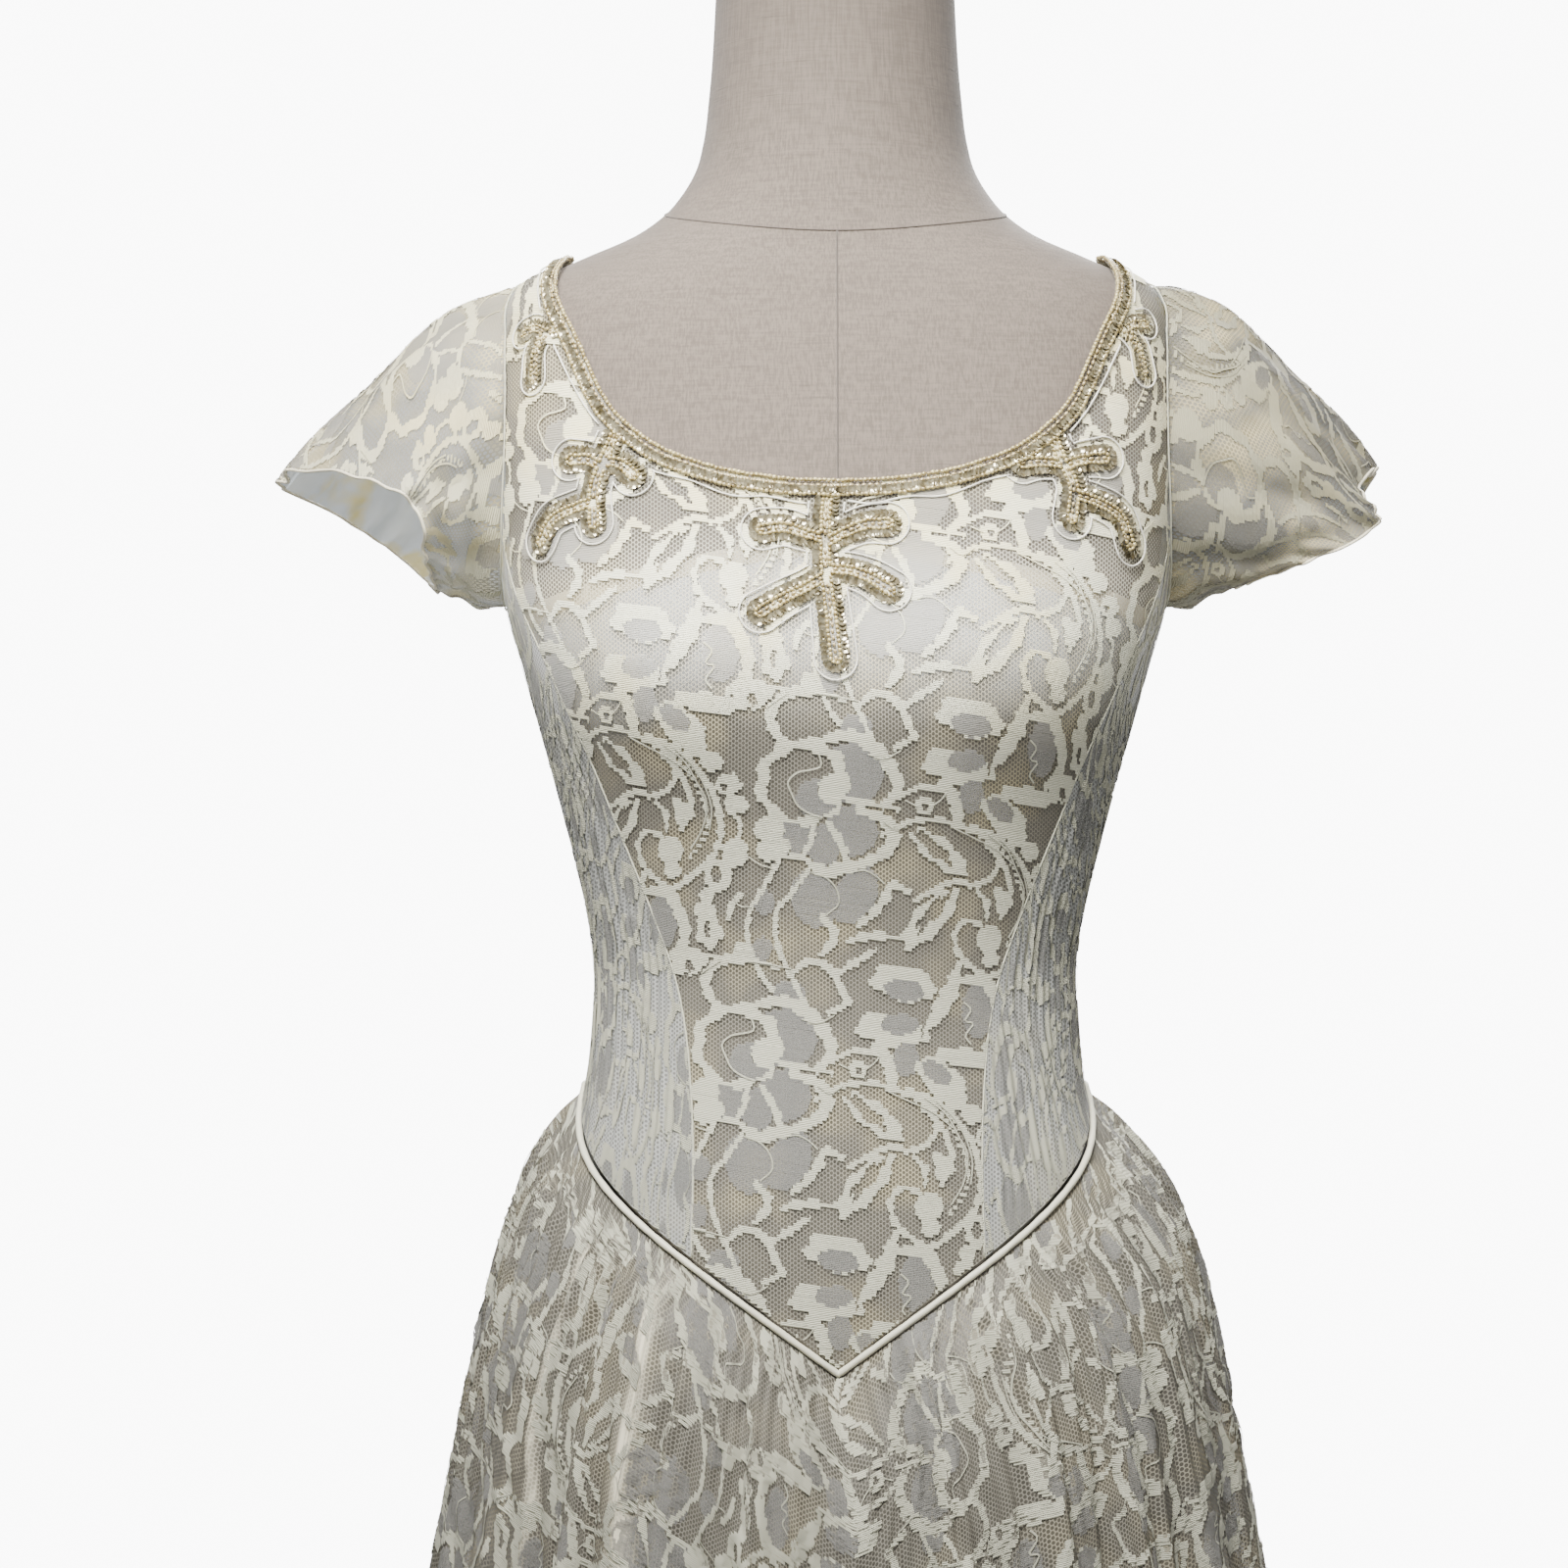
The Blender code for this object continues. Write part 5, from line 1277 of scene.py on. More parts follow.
def build_bodice_lace(settings):
    net = net_finish("bodice_net", colour_of(settings.net), settings.net_cover, 0.25, 0.20)
    finishes = thread_finishes("bodice", settings, 0.55)
    drawn_net = net_finish("side_net", (0.31, 0.315, 0.30), settings.net_cover + 0.7, 0.10, 0.45)
    drawn = thread_finishes("side", settings, 0.15, 0.76)
    front, side, back = front_half(), side_front(90, 72), half_back()
    panels = (
        ("bodice_front", [(front, False), (mirrored(front), True)], "front", 0, (0.35, 0.40), 0.100),
        ("bodice_side_right", [(side, False)], "side", 1, (0.16, 0.29), 0.024),
        ("bodice_side_left", [(mirrored(side), True)], "side", -1, (0.16, 0.29), 0.024),
        ("bodice_back_right", [(back, False)], "back", 1, (0.27, 0.40), 0.074),
        ("bodice_back_left", [(mirrored(back), True)], "back", -1, (0.27, 0.40), 0.074),
    )
    for number, (node, grids, part, hand, flat, area) in enumerate(panels):
        arcs = BACK_ARCS if part == "back" else FRONT_ARCS
        shell = fitted_net(f"{node}_net", grids, arcs, drawn_net if part == "side" else net)
        replace(shell, "bodice_lace", node)
        cut = BODICE_CUTS[node]
        bounds = (-0.30, 0.30, 0.88, 1.44)
        inside = bodice_inside(arcs, part, hand)
        threads = add_threads(
            f"{node}_flowers", cut, bounds, inside, bodice_surface(arcs), drawn if part == "side" else finishes,
            2 if part == "side" else 4, 11 + number,
        )
        replace(threads, "bodice_lace")
        "satin_bodice_front" if part != "back" else f"satin_bodice_{node[7:]}"


SIDE_SCALE = 0.36, 1.00  # the side panels' lace is drawn together across
BODICE_CUTS = {
    "bodice_front": Cut((-0.0165, 1.178)),
    "bodice_side_right": Cut((0.205, 1.130), 0.0, (-1, 1), SIDE_SCALE),
    "bodice_side_left": Cut((-0.190, 1.145), 0.0, (1, 1), SIDE_SCALE),
    "bodice_back_right": Cut((0.050, 1.190)),
    "bodice_back_left": Cut((-0.060, 1.210)),
}


def thread_finishes(name, settings, stain, tone=1.0):
    """Full rows, half-tone rows and fine threads of one kind of lace."""
    # Tone scales the colours down: the skirt's and the sleeves' darker copies are painted shade, and the side panels'
    # copy is darker too. The second colour of each is the painted shade between the threads' crowns.
    full = tuple(k * tone for k in settings.thread)
    half = tuple(k * tone for k in settings.half_tone)
    return [
        thread_finish(f"{name}_full_thread", full, tuple(k * 0.74 for k in full), stain),
        thread_finish(f"{name}_half_thread", half, tuple(k * 0.80 for k in half), stain * 0.6, 0.54, 0.38),
        thread_finish(f"{name}_fine_thread", full, tuple(k * 0.85 for k in full), stain),
    ]


def colour_of(setting):
    return tuple(setting)


def build_satin(settings):
    satin = satin_finish("underdress_satin", colour_of(settings.satin), colour_of(settings.satin_painted_sheen), 0.10)
    ends = 0.0018
    spans = (
        ("satin_bodice_front", "underbodice_front", -HALF_TURN + ends, -ends, 150, (0.46, 0.34), 0.115),
        ("satin_bodice_back_right", "underbodice_back_right", ends, QUARTER - ends, 60, (0.20, 0.26), 0.043),
        ("satin_bodice_back_left", "underbodice_back_left", QUARTER + ends, HALF_TURN - ends, 60, (0.20, 0.26), 0.043),
    )
    binding_parts = []
    for name, node, start, end, columns, flat, area in spans:
        angle = np.linspace(start, end, columns)[None]
        low, high = waist_seam(angle) + SHOULDER_GAP / 8, lining_top(angle)
        height = low + (high - low) * np.linspace(0, 1, 70)[:, None]
        angle = angle + 0 * height
        pucker = 0.0005 * np.sin(angle * 30 + height * 60) * np.exp(-(((height - BUST_HEIGHT) / 0.07) ** 2))
        points = over_skin(angle, height, SATIN_LIFT - 0.0003 + pucker)
        arcs = FRONT_ARCS if "front" in name else BACK_ARCS
        uv = np.stack([arcs.arc(angle, height), height], axis=-1)
        piece = add_piece(name, points, grid_faces(*height.shape), satin, uv)
        replace(piece, "satin", node)
        top = lining_top(angle[0])
        band = top + np.array([0.0005, -0.003, -0.0085])[:, None]
        lifts = np.array([0.0, 0.0006, 0.0])[:, None] + SATIN_LIFT
        points = over_skin(angle[0][None] + 0 * band, band, lifts + 0 * band)
        binding_parts.append((points[::-1].reshape(-1, 3), grid_faces(3, columns)))
    points, faces = joined(binding_parts)
    binding = add_piece("satin_top_binding", points, faces, cord_finish("binding_cloth", (0.80, 0.72, 0.50), 0.6))
    replace(binding, "satin")


def build_underskirt(settings):
    # Painted shade: the underskirt is a darker copy of the bodice's satin.
    tint = tuple(k * 0.62 for k in settings.satin)
    satin = satin_finish("underskirt_satin", tint, tint, 0.0)
    spans = (
        ("underskirt_front", -HALF_TURN, 0.0, 150, (0.98, 0.92), 0.687),
        ("underskirt_back_right", 0.0, QUARTER, 75, (0.50, 1.00), 0.351),
        ("underskirt_back_left", QUARTER, HALF_TURN, 75, (0.50, 1.00), 0.351),
    )
    for node, start, end, columns, flat, area in spans:
        angle = np.linspace(start + 0.002, end - 0.002, columns)[None]
        rows = np.linspace(0, 1, 70)[:, None] ** 1.5
        drop = 0.0002 + rows * (waist_seam(angle) - HEM_HEIGHT - LINING_HEM_RISE - 0.0002)
        points = underskirt_point(angle + 0 * drop, drop)
        uv = np.stack([(angle + 0 * drop) * 0.2, -drop], axis=-1)
        piece = add_piece(f"satin_{node}", points, grid_faces(*drop.shape, flip=True), satin, uv)
        replace(piece, "satin", node)


SKIRT_DROPS = np.linspace(0, 1.02, 52)
SKIRT_SHARES = np.linspace(-0.5, 0.5, 1537)


def skirt_widths():
    """Width of cloth that the pattern has to cover at each drop: between the hem's and the gathered one's."""
    rings = skirt_point(SKIRT_SHARES[None], SKIRT_DROPS[:, None])
    around = np.linalg.norm(np.diff(rings[..., :2], axis=1), axis=2).sum(1)
    return np.sqrt(around * np.interp(0.30, SKIRT_DROPS, around))


SKIRT_WIDTHS = skirt_widths()


def build_skirt(settings):
    # Painted shade: the skirt's net and thread are darker copies of the bodice's, as the skirt lies further from the
    # light.
    net = net_finish("skirt_net", tuple(k * 0.72 for k in settings.net), settings.net_cover, 0.10, 0.30)
    finishes = thread_finishes("skirt", settings, 0.10, 0.86)
    panels = (
        ("skirt_front", -0.5, 0.0, 540, (1.30, 0.95), 0.833),
        ("skirt_back_right", 0.0, 0.25, 205, (0.65, 1.00), 0.436),
        ("skirt_back_left", 0.25, 0.5, 205, (0.65, 1.00), 0.436),
    )
    for number, (node, start, end, columns, flat, area) in enumerate(panels):
        share = np.linspace(start, end, columns)[None]
        rows = np.linspace(0, 1, 90)[:, None] ** 1.6
        length = waist_seam(gathered_angle(share)) - HEM_HEIGHT - PIPING_ROOM
        drop = PIPING_ROOM + rows * length
        points = skirt_point(share + 0 * drop, drop)
        centre = -0.25 if start < 0 else 0.25
        width = np.interp(drop, SKIRT_DROPS, SKIRT_WIDTHS)
        uv = np.stack([(share - centre) * width, -drop], axis=-1)
        course = share + 0.0025 * np.sin(drop * 31) + 0.0012 * np.sin(drop * 83)
        fold = np.exp(-(((course + 0.347) / 0.0048) ** 2)) + 0.7 * np.exp(-(((course + 0.405) / 0.0018) ** 2))
        crumpled = 0.75 + 0.25 * np.sin(drop * 140 + 9 * np.sin(share * 700))
        pulled = fold * crumpled * eased(0.0, 0.03, drop) * (1 - eased(0.3, 0.6, drop))
        faces = grid_faces(*drop.shape, flip=True)
        shell = add_piece(f"{node}_net", points, faces, net, uv, {"pulled": pulled})
        replace(shell, "skirt_lace", node)

        def surface(u, v, lift, centre=centre):
            drop = -v
            share = centre + u / np.interp(drop, SKIRT_DROPS, SKIRT_WIDTHS)
            return skirt_point(share, np.maximum(drop, 0), lift)

        # Painted shade of the thread in the gather valleys.
        def valley_shade(u, v, centre=centre):
            return skirt_valley_shade(centre + u / np.interp(-v, SKIRT_DROPS, SKIRT_WIDTHS), -v)

        def inside(u, v, centre=centre, start=start, end=end):
            drop = -v
            share = centre + u / np.interp(drop, SKIRT_DROPS, SKIRT_WIDTHS)
            long = waist_seam(gathered_angle(share)) - HEM_HEIGHT - 0.001
            return (share > start + 0.0006) & (share < end - 0.0006) & (drop > PIPING_ROOM + 0.001) & (drop < long)

        half = (end - start) / 2 * SKIRT_WIDTHS.max()
        cut = SKIRT_CUTS[node]
        middle = ((start + end) / 2 - centre) * SKIRT_WIDTHS.max()
        bounds = (min(0, middle) - half, max(0, middle) + half, -1.01, 0.0)
        threads = add_threads(f"{node}_flowers", cut, bounds, inside, surface, finishes, 5 + min(number, 1), 41 + number, valley_shade)
        replace(threads, "skirt_lace")


SKIRT_SCALE = 0.84, 0.915
SKIRT_CUTS = {
    "skirt_front": Cut((0.062, -0.060), 0.0, (-1, -1), SKIRT_SCALE),
    "skirt_back_right": Cut((0.030, -0.080), 0.0, (-1, -1), SKIRT_SCALE),
    "skirt_back_left": Cut((-0.040, -0.100), 0.0, (-1, -1), SKIRT_SCALE),
}
SLEEVE_WIDTH, SLEEVE_SCALE = 0.37, (0.80, 0.78)


def build_sleeves(settings):
    # Painted shade and light: the right sleeve's net and thread are painted darker, and each sleeve's organza has a
    # painted glow, stronger on the left.
    for side, tone, painted_glow in (("left", 0.68, 0.9), ("right", 0.36, 0.10)):
        organza = organza_finish(side, painted_glow)
        tint = tuple(k * tone for k in settings.net)
        net = net_finish(f"sleeve_{side}_net_thread", tint, settings.net_cover, 0.45, 0.45)
        finishes = thread_finishes(f"sleeve_{side}", settings, 0.60, tone)
        sleeve = Sleeve(side)
        every = np.linspace(0, ARMHOLE_STATIONS, 241)
        lengths = np.linalg.norm(sleeve.end(every % 20) - sleeve.start(every % 20), axis=-1) * 1.06
        station, share = np.meshgrid(every, np.linspace(0, 1, 50))
        points = sleeve.at(station, share)
        uv = np.stack([(station / 20 - 0.5) * SLEEVE_WIDTH, -share * lengths[None]], axis=-1)
        away = side == "right"
        faces = grid_faces(*station.shape, flip=not away)
        values = {"pulled": np.zeros(station.size)}
        shell = merged(add_piece(f"sleeve_{side}_net", points, faces, net, uv, values))
        replace(shell, "sleeve_lace", f"sleeve_{side}")
        under = sleeve.at(station, share * 0.995, -0.0012)
        lining = merged(add_piece(f"sleeve_{side}_organza", under, faces, organza, uv))
        replace(lining, "sleeve_lace")

        def surface(u, v, lift, sleeve=sleeve, lengths=lengths):
            station = (u / SLEEVE_WIDTH * 20) % 20
            share = -v / np.interp(station, every, lengths)
            return sleeve.at(station, np.clip(share, 0, 1), lift)

        def inside(u, v, lengths=lengths):
            station = (u / SLEEVE_WIDTH * 20) % 20
            share = -v / np.interp(station, every, lengths)
            return (np.abs(u) < SLEEVE_WIDTH / 2 - 0.0012) & (share > 0.01) & (share < 0.992)

        rose = (-0.03, -0.062) if away else (0.05, -0.05)
        cut = Cut(rose, 0.0, (1, -1) if away else (-1, -1), SLEEVE_SCALE)
        bounds = (-SLEEVE_WIDTH / 2, SLEEVE_WIDTH / 2, -0.16, 0.0)
        threads = add_threads(f"sleeve_{side}_flowers", cut, bounds, inside, surface, finishes, 4, 71)
        replace(threads, "sleeve_lace")
        edge = np.linspace(0, ARMHOLE_STATIONS, 160, endpoint=False)
        hem, faces = tube(sleeve.at(edge, 1.0), 0.0008, 6, closed=True)
        binding = add_piece(f"sleeve_{side}_hem", hem, faces, cord_finish(f"sleeve_{side}_edge", (0.80, 0.74, 0.56)))
        replace(binding, "sleeve_lace")


def organza_finish(side, painted_glow):
    """Thin white cloth inside the sleeve. Light that falls on the sleeve comes through it, so it glows a little."""
    g = Graph(f"sleeve_{side}_organza_cloth")
    soft = g.noise(g.place(), 28.0, 3.0)
    tone = g.mix(soft.clipped(0.50, 0.60), (0.62, 0.67, 0.71), (0.70, 0.62, 0.30))
    # Painted glow: the emission stands in for light coming through the sleeve.
    g.finish(Base_Color=tone, Roughness=0.6, Emission_Color=tone)
    g.shader.inputs["Emission Strength"].default_value = painted_glow
    g.shader.inputs["Alpha"].default_value = 0.45
    return g.material


def build_form(settings):
    """Linen over padding: the figure itself, a little slimmer under the satin, closed below and at the neck."""
    heights = np.concatenate([np.linspace(0.785, 1.41, 100), np.linspace(1.414, NECK_TOP, 60)])
    angle = np.linspace(-HALF_TURN, HALF_TURN, 145)[None]
    slack = -FORM_SLACK * (1 - eased(FORM_SLACK_TOP, FORM_SLACK_END, heights))[:, None]
    points = over_skin(angle + 0 * heights[:, None], heights[:, None] + 0 * angle, slack + 0 * angle)
    foot = points[0] * [0.93, 0.93, 0] + [0, 0, FORM_BOTTOM]
    under = points[0] * [0.02, 0.02, 0] + [0, 0, FORM_BOTTOM]
    rim = points[-1] * [0.965, 0.965, 1] + [0, 0, 0.0020]
    crown = points[-1] * [0.80, 0.80, 1] + [0, 0, 0.0042]
    top = points[-1] * [0.02, 0.02, 1] + [0, 0, NECK_CROWN]
    points = np.concatenate([under[None], foot[None], points, rim[None], crown[None], top[None]])
    around = np.linalg.norm(np.diff(points, axis=1), axis=2)
    u = np.concatenate([np.zeros((len(points), 1)), np.cumsum(around, axis=1)], axis=1)
    v = np.broadcast_to(points[..., 2], u.shape)
    faces = grid_faces(*u.shape)
    piece = merged(add_piece("linen_form", points, faces, linen_finish(colour_of(settings.linen)), np.stack([u, v], -1)))
    shape = bmesh.new()
    shape.from_mesh(piece.data)
    bmesh.ops.holes_fill(shape, edges=[e for e in shape.edges if e.is_boundary], sides=0)
    shape.to_mesh(piece.data)
    shape.free()
    replace(piece, "linen", "form_torso")
    thread = cord_finish("form_seam_thread", tuple(k * 0.62 for k in settings.linen), 0.9)
    turn = np.linspace(-HALF_TURN, HALF_TURN, 120, endpoint=False)
    ring = 1.4555 - 0.0185 * -np.sin(turn)
    seams = [tube(over_skin(turn, ring, 0.0001), 0.00045, 6, closed=True)]
    for middle in (-QUARTER, QUARTER):
        tall = np.linspace(1.4555 + 0.0185 * math.sin(middle), 1.275, 60)
        path = over_skin(np.full(tall.shape, middle), tall, 0.0)
        seams.append(tube(path, 0.00045, 6, up=np.tile([0.0, 1.0, 0.0], (60, 1))))
    points, faces = joined(seams)
    ridges = add_piece("linen_form_seams", points, faces, thread)
    replace(ridges, "linen")


def edge_frame(angle):
    """Along the neck edge: points, the way along, the way down into the cloth, and the way out."""
    height = neckline(angle)
    out = skin_normal(angle, height)
    path = over_skin(angle, height, lace_lift(height) - NET_SINK)
    along = np.roll(path, -1, axis=0) - np.roll(path, 1, axis=0)
    along /= np.linalg.norm(along, axis=1, keepdims=True)
    down = np.cross(along, out)
    down = down / np.linalg.norm(down, axis=1, keepdims=True)
    down = np.where((down[:, 2] > 0)[:, None] & (np.abs(down[:, 2]) > 0.02)[:, None], -down, down)
    return path, along, down, out


def spaced(path, step, closed=False, *others):
    """A path and the arrays that go with it, sampled again an even step apart."""
    whole = [np.concatenate([k, k[:1]]) if closed else k for k in (path, *others)]
    length = np.concatenate([[0], np.cumsum(np.linalg.norm(np.diff(whole[0], axis=0), axis=1))])
    at = np.linspace(0, length[-1], max(3, int(length[-1] / step)), endpoint=not closed)
    return [np.stack([np.interp(at, length, k[:, c]) for c in range(3)], axis=-1) for k in whole]


def ball(sides=6, rings=3):
    """Small round bead of triangles and its faces."""
    tall = np.linspace(-HALF_TURN / 2, HALF_TURN / 2, rings + 2)[1:-1]
    turns = np.arange(sides) * 2 * HALF_TURN / sides
    ring = np.stack([np.cos(turns), np.sin(turns)], axis=-1)
    points = [np.column_stack([ring * math.cos(t), np.full(sides, math.sin(t))]) for t in tall]
    points = np.concatenate([*points, [[0, 0, -1], [0, 0, 1]]])
    faces = []
    for i in range(sides):
        j = (i + 1) % sides
        faces += [[sides * rings, j, i], [sides * rings + 1, (rings - 1) * sides + i, (rings - 1) * sides + j]]
        for k in range(rings - 1):
            a = k * sides
            faces += [[a + i, a + j, a + sides + j], [a + i, a + sides + j, a + sides + i]]
    return points, np.array(faces)


def cup(sides=8):
    """Sequin: a shallow cup with a flat middle."""
    turns = np.arange(sides) * 2 * HALF_TURN / sides
    ring = np.stack([np.cos(turns), np.sin(turns)], axis=-1)
    points = np.concatenate(
        [np.column_stack([ring, np.full(sides, 0.22)]), np.column_stack([ring * 0.45, np.zeros(sides)]), [[0, 0, 0]]]
    )
    faces = []
    for i in range(sides):
        j = (i + 1) % sides
        faces += [[i, j, sides + j], [i, sides + j, sides + i], [sides + i, sides + j, 2 * sides]]
    return points, np.array(faces)


def bead_row(path, along, out, step, size, long=1.0, seed=5):
    """Beads threaded along a path, a little uneven in place and size."""
    rng = np.random.default_rng(seed)
    side = np.cross(along, out)
    points, faces = ball()
    points = points[:, [2, 0, 1]] * [long, 1, 1]
    sizes = size * (1 + rng.uniform(-0.12, 0.12, len(path)))
    path = path + side * rng.normal(0, size * 0.10, (len(path), 1)) + out * size * 0.8
    return copies(points, faces, path, along, side, out, sizes)


def sequin_row(path, along, out, step, size, seed=7):
    """Sequins that overlap like tiles along a path, each tipped a little its own way."""
    rng = np.random.default_rng(seed)
    tipped = out + along * 0.28 + rng.normal(0, 0.18, path.shape)
    tipped /= np.linalg.norm(tipped, axis=1, keepdims=True)
    side = np.cross(along, tipped)
    side /= np.linalg.norm(side, axis=1, keepdims=True)
    front = np.cross(tipped, side)
    points, faces = cup()
    sizes = size * (1 + rng.uniform(-0.10, 0.10, len(path)))
    return copies(points, faces, path + out * size * 0.5, front, side, tipped, sizes)


def bead_finishes():
    return {
        "gold": bead_finish("gold_beads", (0.50, 0.42, 0.20), (0.24, 0.18, 0.07), 0.20, 0.1, 0.9),
        "olive": bead_finish("smoky_bugles", (0.46, 0.37, 0.19), (0.30, 0.23, 0.11), 0.20, 0.2, 0.8),
        "sequin": bead_finish("clear_sequins", (0.42, 0.38, 0.25), (0.16, 0.13, 0.07), 0.05, 0.50, 1.0),
        "cord": cord_finish("white_cord", (0.86, 0.83, 0.72), 0.55),
    }


def laid(kind, path, out, step, size, keep=None, closed=False, seed=1):
    """One row of beads, bugles or sequins along a path, left out where keep says so."""
    path, out = spaced(path, step, closed, out)
    along = np.roll(path, -1, axis=0) - np.roll(path, 1, axis=0) if closed else np.gradient(path, axis=0)
    along /= np.linalg.norm(along, axis=1, keepdims=True)
    free = np.ones(len(path), bool) if keep is None else keep(path)
    path, along, out = path[free], along[free], out[free]
    if kind == "sequin":
        return sequin_row(path, along, out, step, size, seed)
    return bead_row(path, along, out, step, size, 1.15 if kind == "bead" else 1.6, seed)


def add_beadwork(name, slot, parts, finishes, node):
    """Joined pieces of one band or sprig, one for each kind of bead."""
    for kind, made in parts.items():
        if made:
            points, faces = joined(made)
            piece = add_piece(f"{name}_{kind}", points, faces, finishes[kind])
            replace(piece, slot, *([node] if kind == "gold" else []))


def sprig_lines():
    """Every branch of every sprig on the lace."""
    return {node: [branch_path(pixels) for pixels in branches] for node, branches in SPRIG_BRANCHES.items()}


def build_neck_band(settings, finishes, sprigs):
    """Beads and sequins in rows along the whole neck edge, with a thin cord set apart below them."""
    angle = np.concatenate(
        [neck_angles(-QUARTER, 0.0, 120)[:-1], neck_angles(0.0, QUARTER, 100)[:-1]]
    )
    angle = np.concatenate([angle, [QUARTER], (-HALF_TURN - angle[1:])[::-1]])
    path, along, down, out = edge_frame(angle)
    width = settings.band_width
    middles = np.concatenate([line[0] for lines in sprigs.values() for line in lines])

    def row(share, lift):
        return path + down * width * share + out * lift

    def apart(points):
        return np.linalg.norm(points[:, None] - middles[None], axis=2).min(1)

    parts = {
        "cord": [],
        "gold": [
            laid("bead", row(0.06, 0.0006), out, 0.0021, 0.00110, None, True, 3),
            laid("bead", row(0.92, 0.0006), out, 0.0022, 0.00110, None, True, 4),
        ],
        "olive": [laid("bugle", row(0.38, 0.0004), out, 0.0030, 0.00090, None, True, 5)],
        "sequin": [laid("sequin", row(0.66, 0.0008), out, 0.0020, 0.0019, None, True, 6)],
    }
    course = row(settings.cord_reach / width + 0.35 + 0.12 * np.sin(angle * 21)[:, None], 0.0012)
    free = apart(course) > settings.cord_reach * 1.05
    for run in np.split(np.arange(len(free)), np.flatnonzero(np.diff(free.astype(int))) + 1):
        if free[run[0]] and len(run) > 4:
            parts["cord"].append(tube(course[run], 0.00042, 6, up=out[run], twist=3200, ribs=0.22))
    add_beadwork("neck_band", "bead_band", parts, finishes, "neck_band")


# Branches of the sprigs, as points of the photograph in its own 1600 pixels.
SPRIG_BRANCHES = {
    "sprig_centre": (
        ((845, 498), (842, 540), (843, 585), (848, 630), (853, 672)),
        ((843, 552), (822, 546), (800, 540), (778, 542)),
        ((842, 556), (862, 545), (884, 537), (906, 536)),
        ((844, 588), (824, 600), (800, 612), (776, 626)),
        ((845, 582), (868, 584), (890, 592), (908, 604)),
    ),
    "sprig_left": (
        ((626, 446), (616, 470), (606, 500), (606, 535)),
        ((614, 478), (600, 470), (582, 470)),
        ((616, 472), (632, 474), (646, 486)),
        ((606, 512), (584, 520), (564, 530), (552, 552)),
    ),
    "sprig_right": (
        ((1074, 446), (1084, 470), (1096, 498), (1094, 530)),
        ((1082, 474), (1062, 472), (1044, 474)),
        ((1086, 476), (1106, 470), (1128, 468)),
        ((1096, 505), (1118, 512), (1142, 526), (1154, 556)),
    ),
    "sprig_shoulder_left": (
        ((572, 336), (556, 340), (545, 356), (542, 388)),
        ((556, 342), (542, 336), (532, 342)),
    ),
    "sprig_shoulder_right": (
        ((1134, 330), (1150, 338), (1163, 352), (1170, 380)),
        ((1150, 338), (1160, 332), (1172, 332)),
    ),
}


def seen_on_front(pixels):
    """Angle and height on the lace's front of places in the photograph."""
    pixels = np.asarray(pixels, float)
    depth = np.full(len(pixels), -0.10)
    angles = np.linspace(-HALF_TURN, 0, 721)
    for _ in range(4):
        scale = VIEW_WIDTH / 1600 * (VIEW_AWAY + depth) / VIEW_AWAY
        x = VIEW_ASIDE + (pixels[:, 0] - 800) * scale
        z = VIEW_HEIGHT + (800 - pixels[:, 1]) * scale
        ring = over_skin(angles[None] + 0 * z[:, None], z[:, None] + 0 * angles[None], LACE_LIFT)
        angle = np.array([np.interp(x[k], ring[k, :, 0], angles) for k in range(len(x))])
        depth = over_skin(angle, z, np.full(z.shape, LACE_LIFT))[:, 1]
    return angle, z


def branch_path(pixels):
    """A branch on the lace: its points, the way along and the way out."""
    angle, height = seen_on_front(smooth_path(pixels, 3.0))
    path = over_skin(angle, height, lace_lift(height) - NET_SINK)
    along = np.gradient(path, axis=0)
    along /= np.linalg.norm(along, axis=1, keepdims=True)
    return path, along, skin_normal(angle, height)


def loop_round(path, along, out, root, tip, steps=9):
    """A line down one side of a branch, round its end, and back up the other side, from root to tip widths."""
    side = np.cross(along, out)
    half = (root + (tip - root) * np.linspace(0, 1, len(path)) ** 2)[:, None]
    turn = np.linspace(0, HALF_TURN, steps)[1:-1, None]
    round_tip = path[-1] + tip * (np.cos(turn) * side[-1] + np.sin(turn) * along[-1])
    points = np.concatenate([path + side * half, round_tip, (path - side * half)[::-1]])
    normals = np.concatenate([out, np.tile(out[-1], (len(turn), 1)), out[::-1]])
    return points, normals


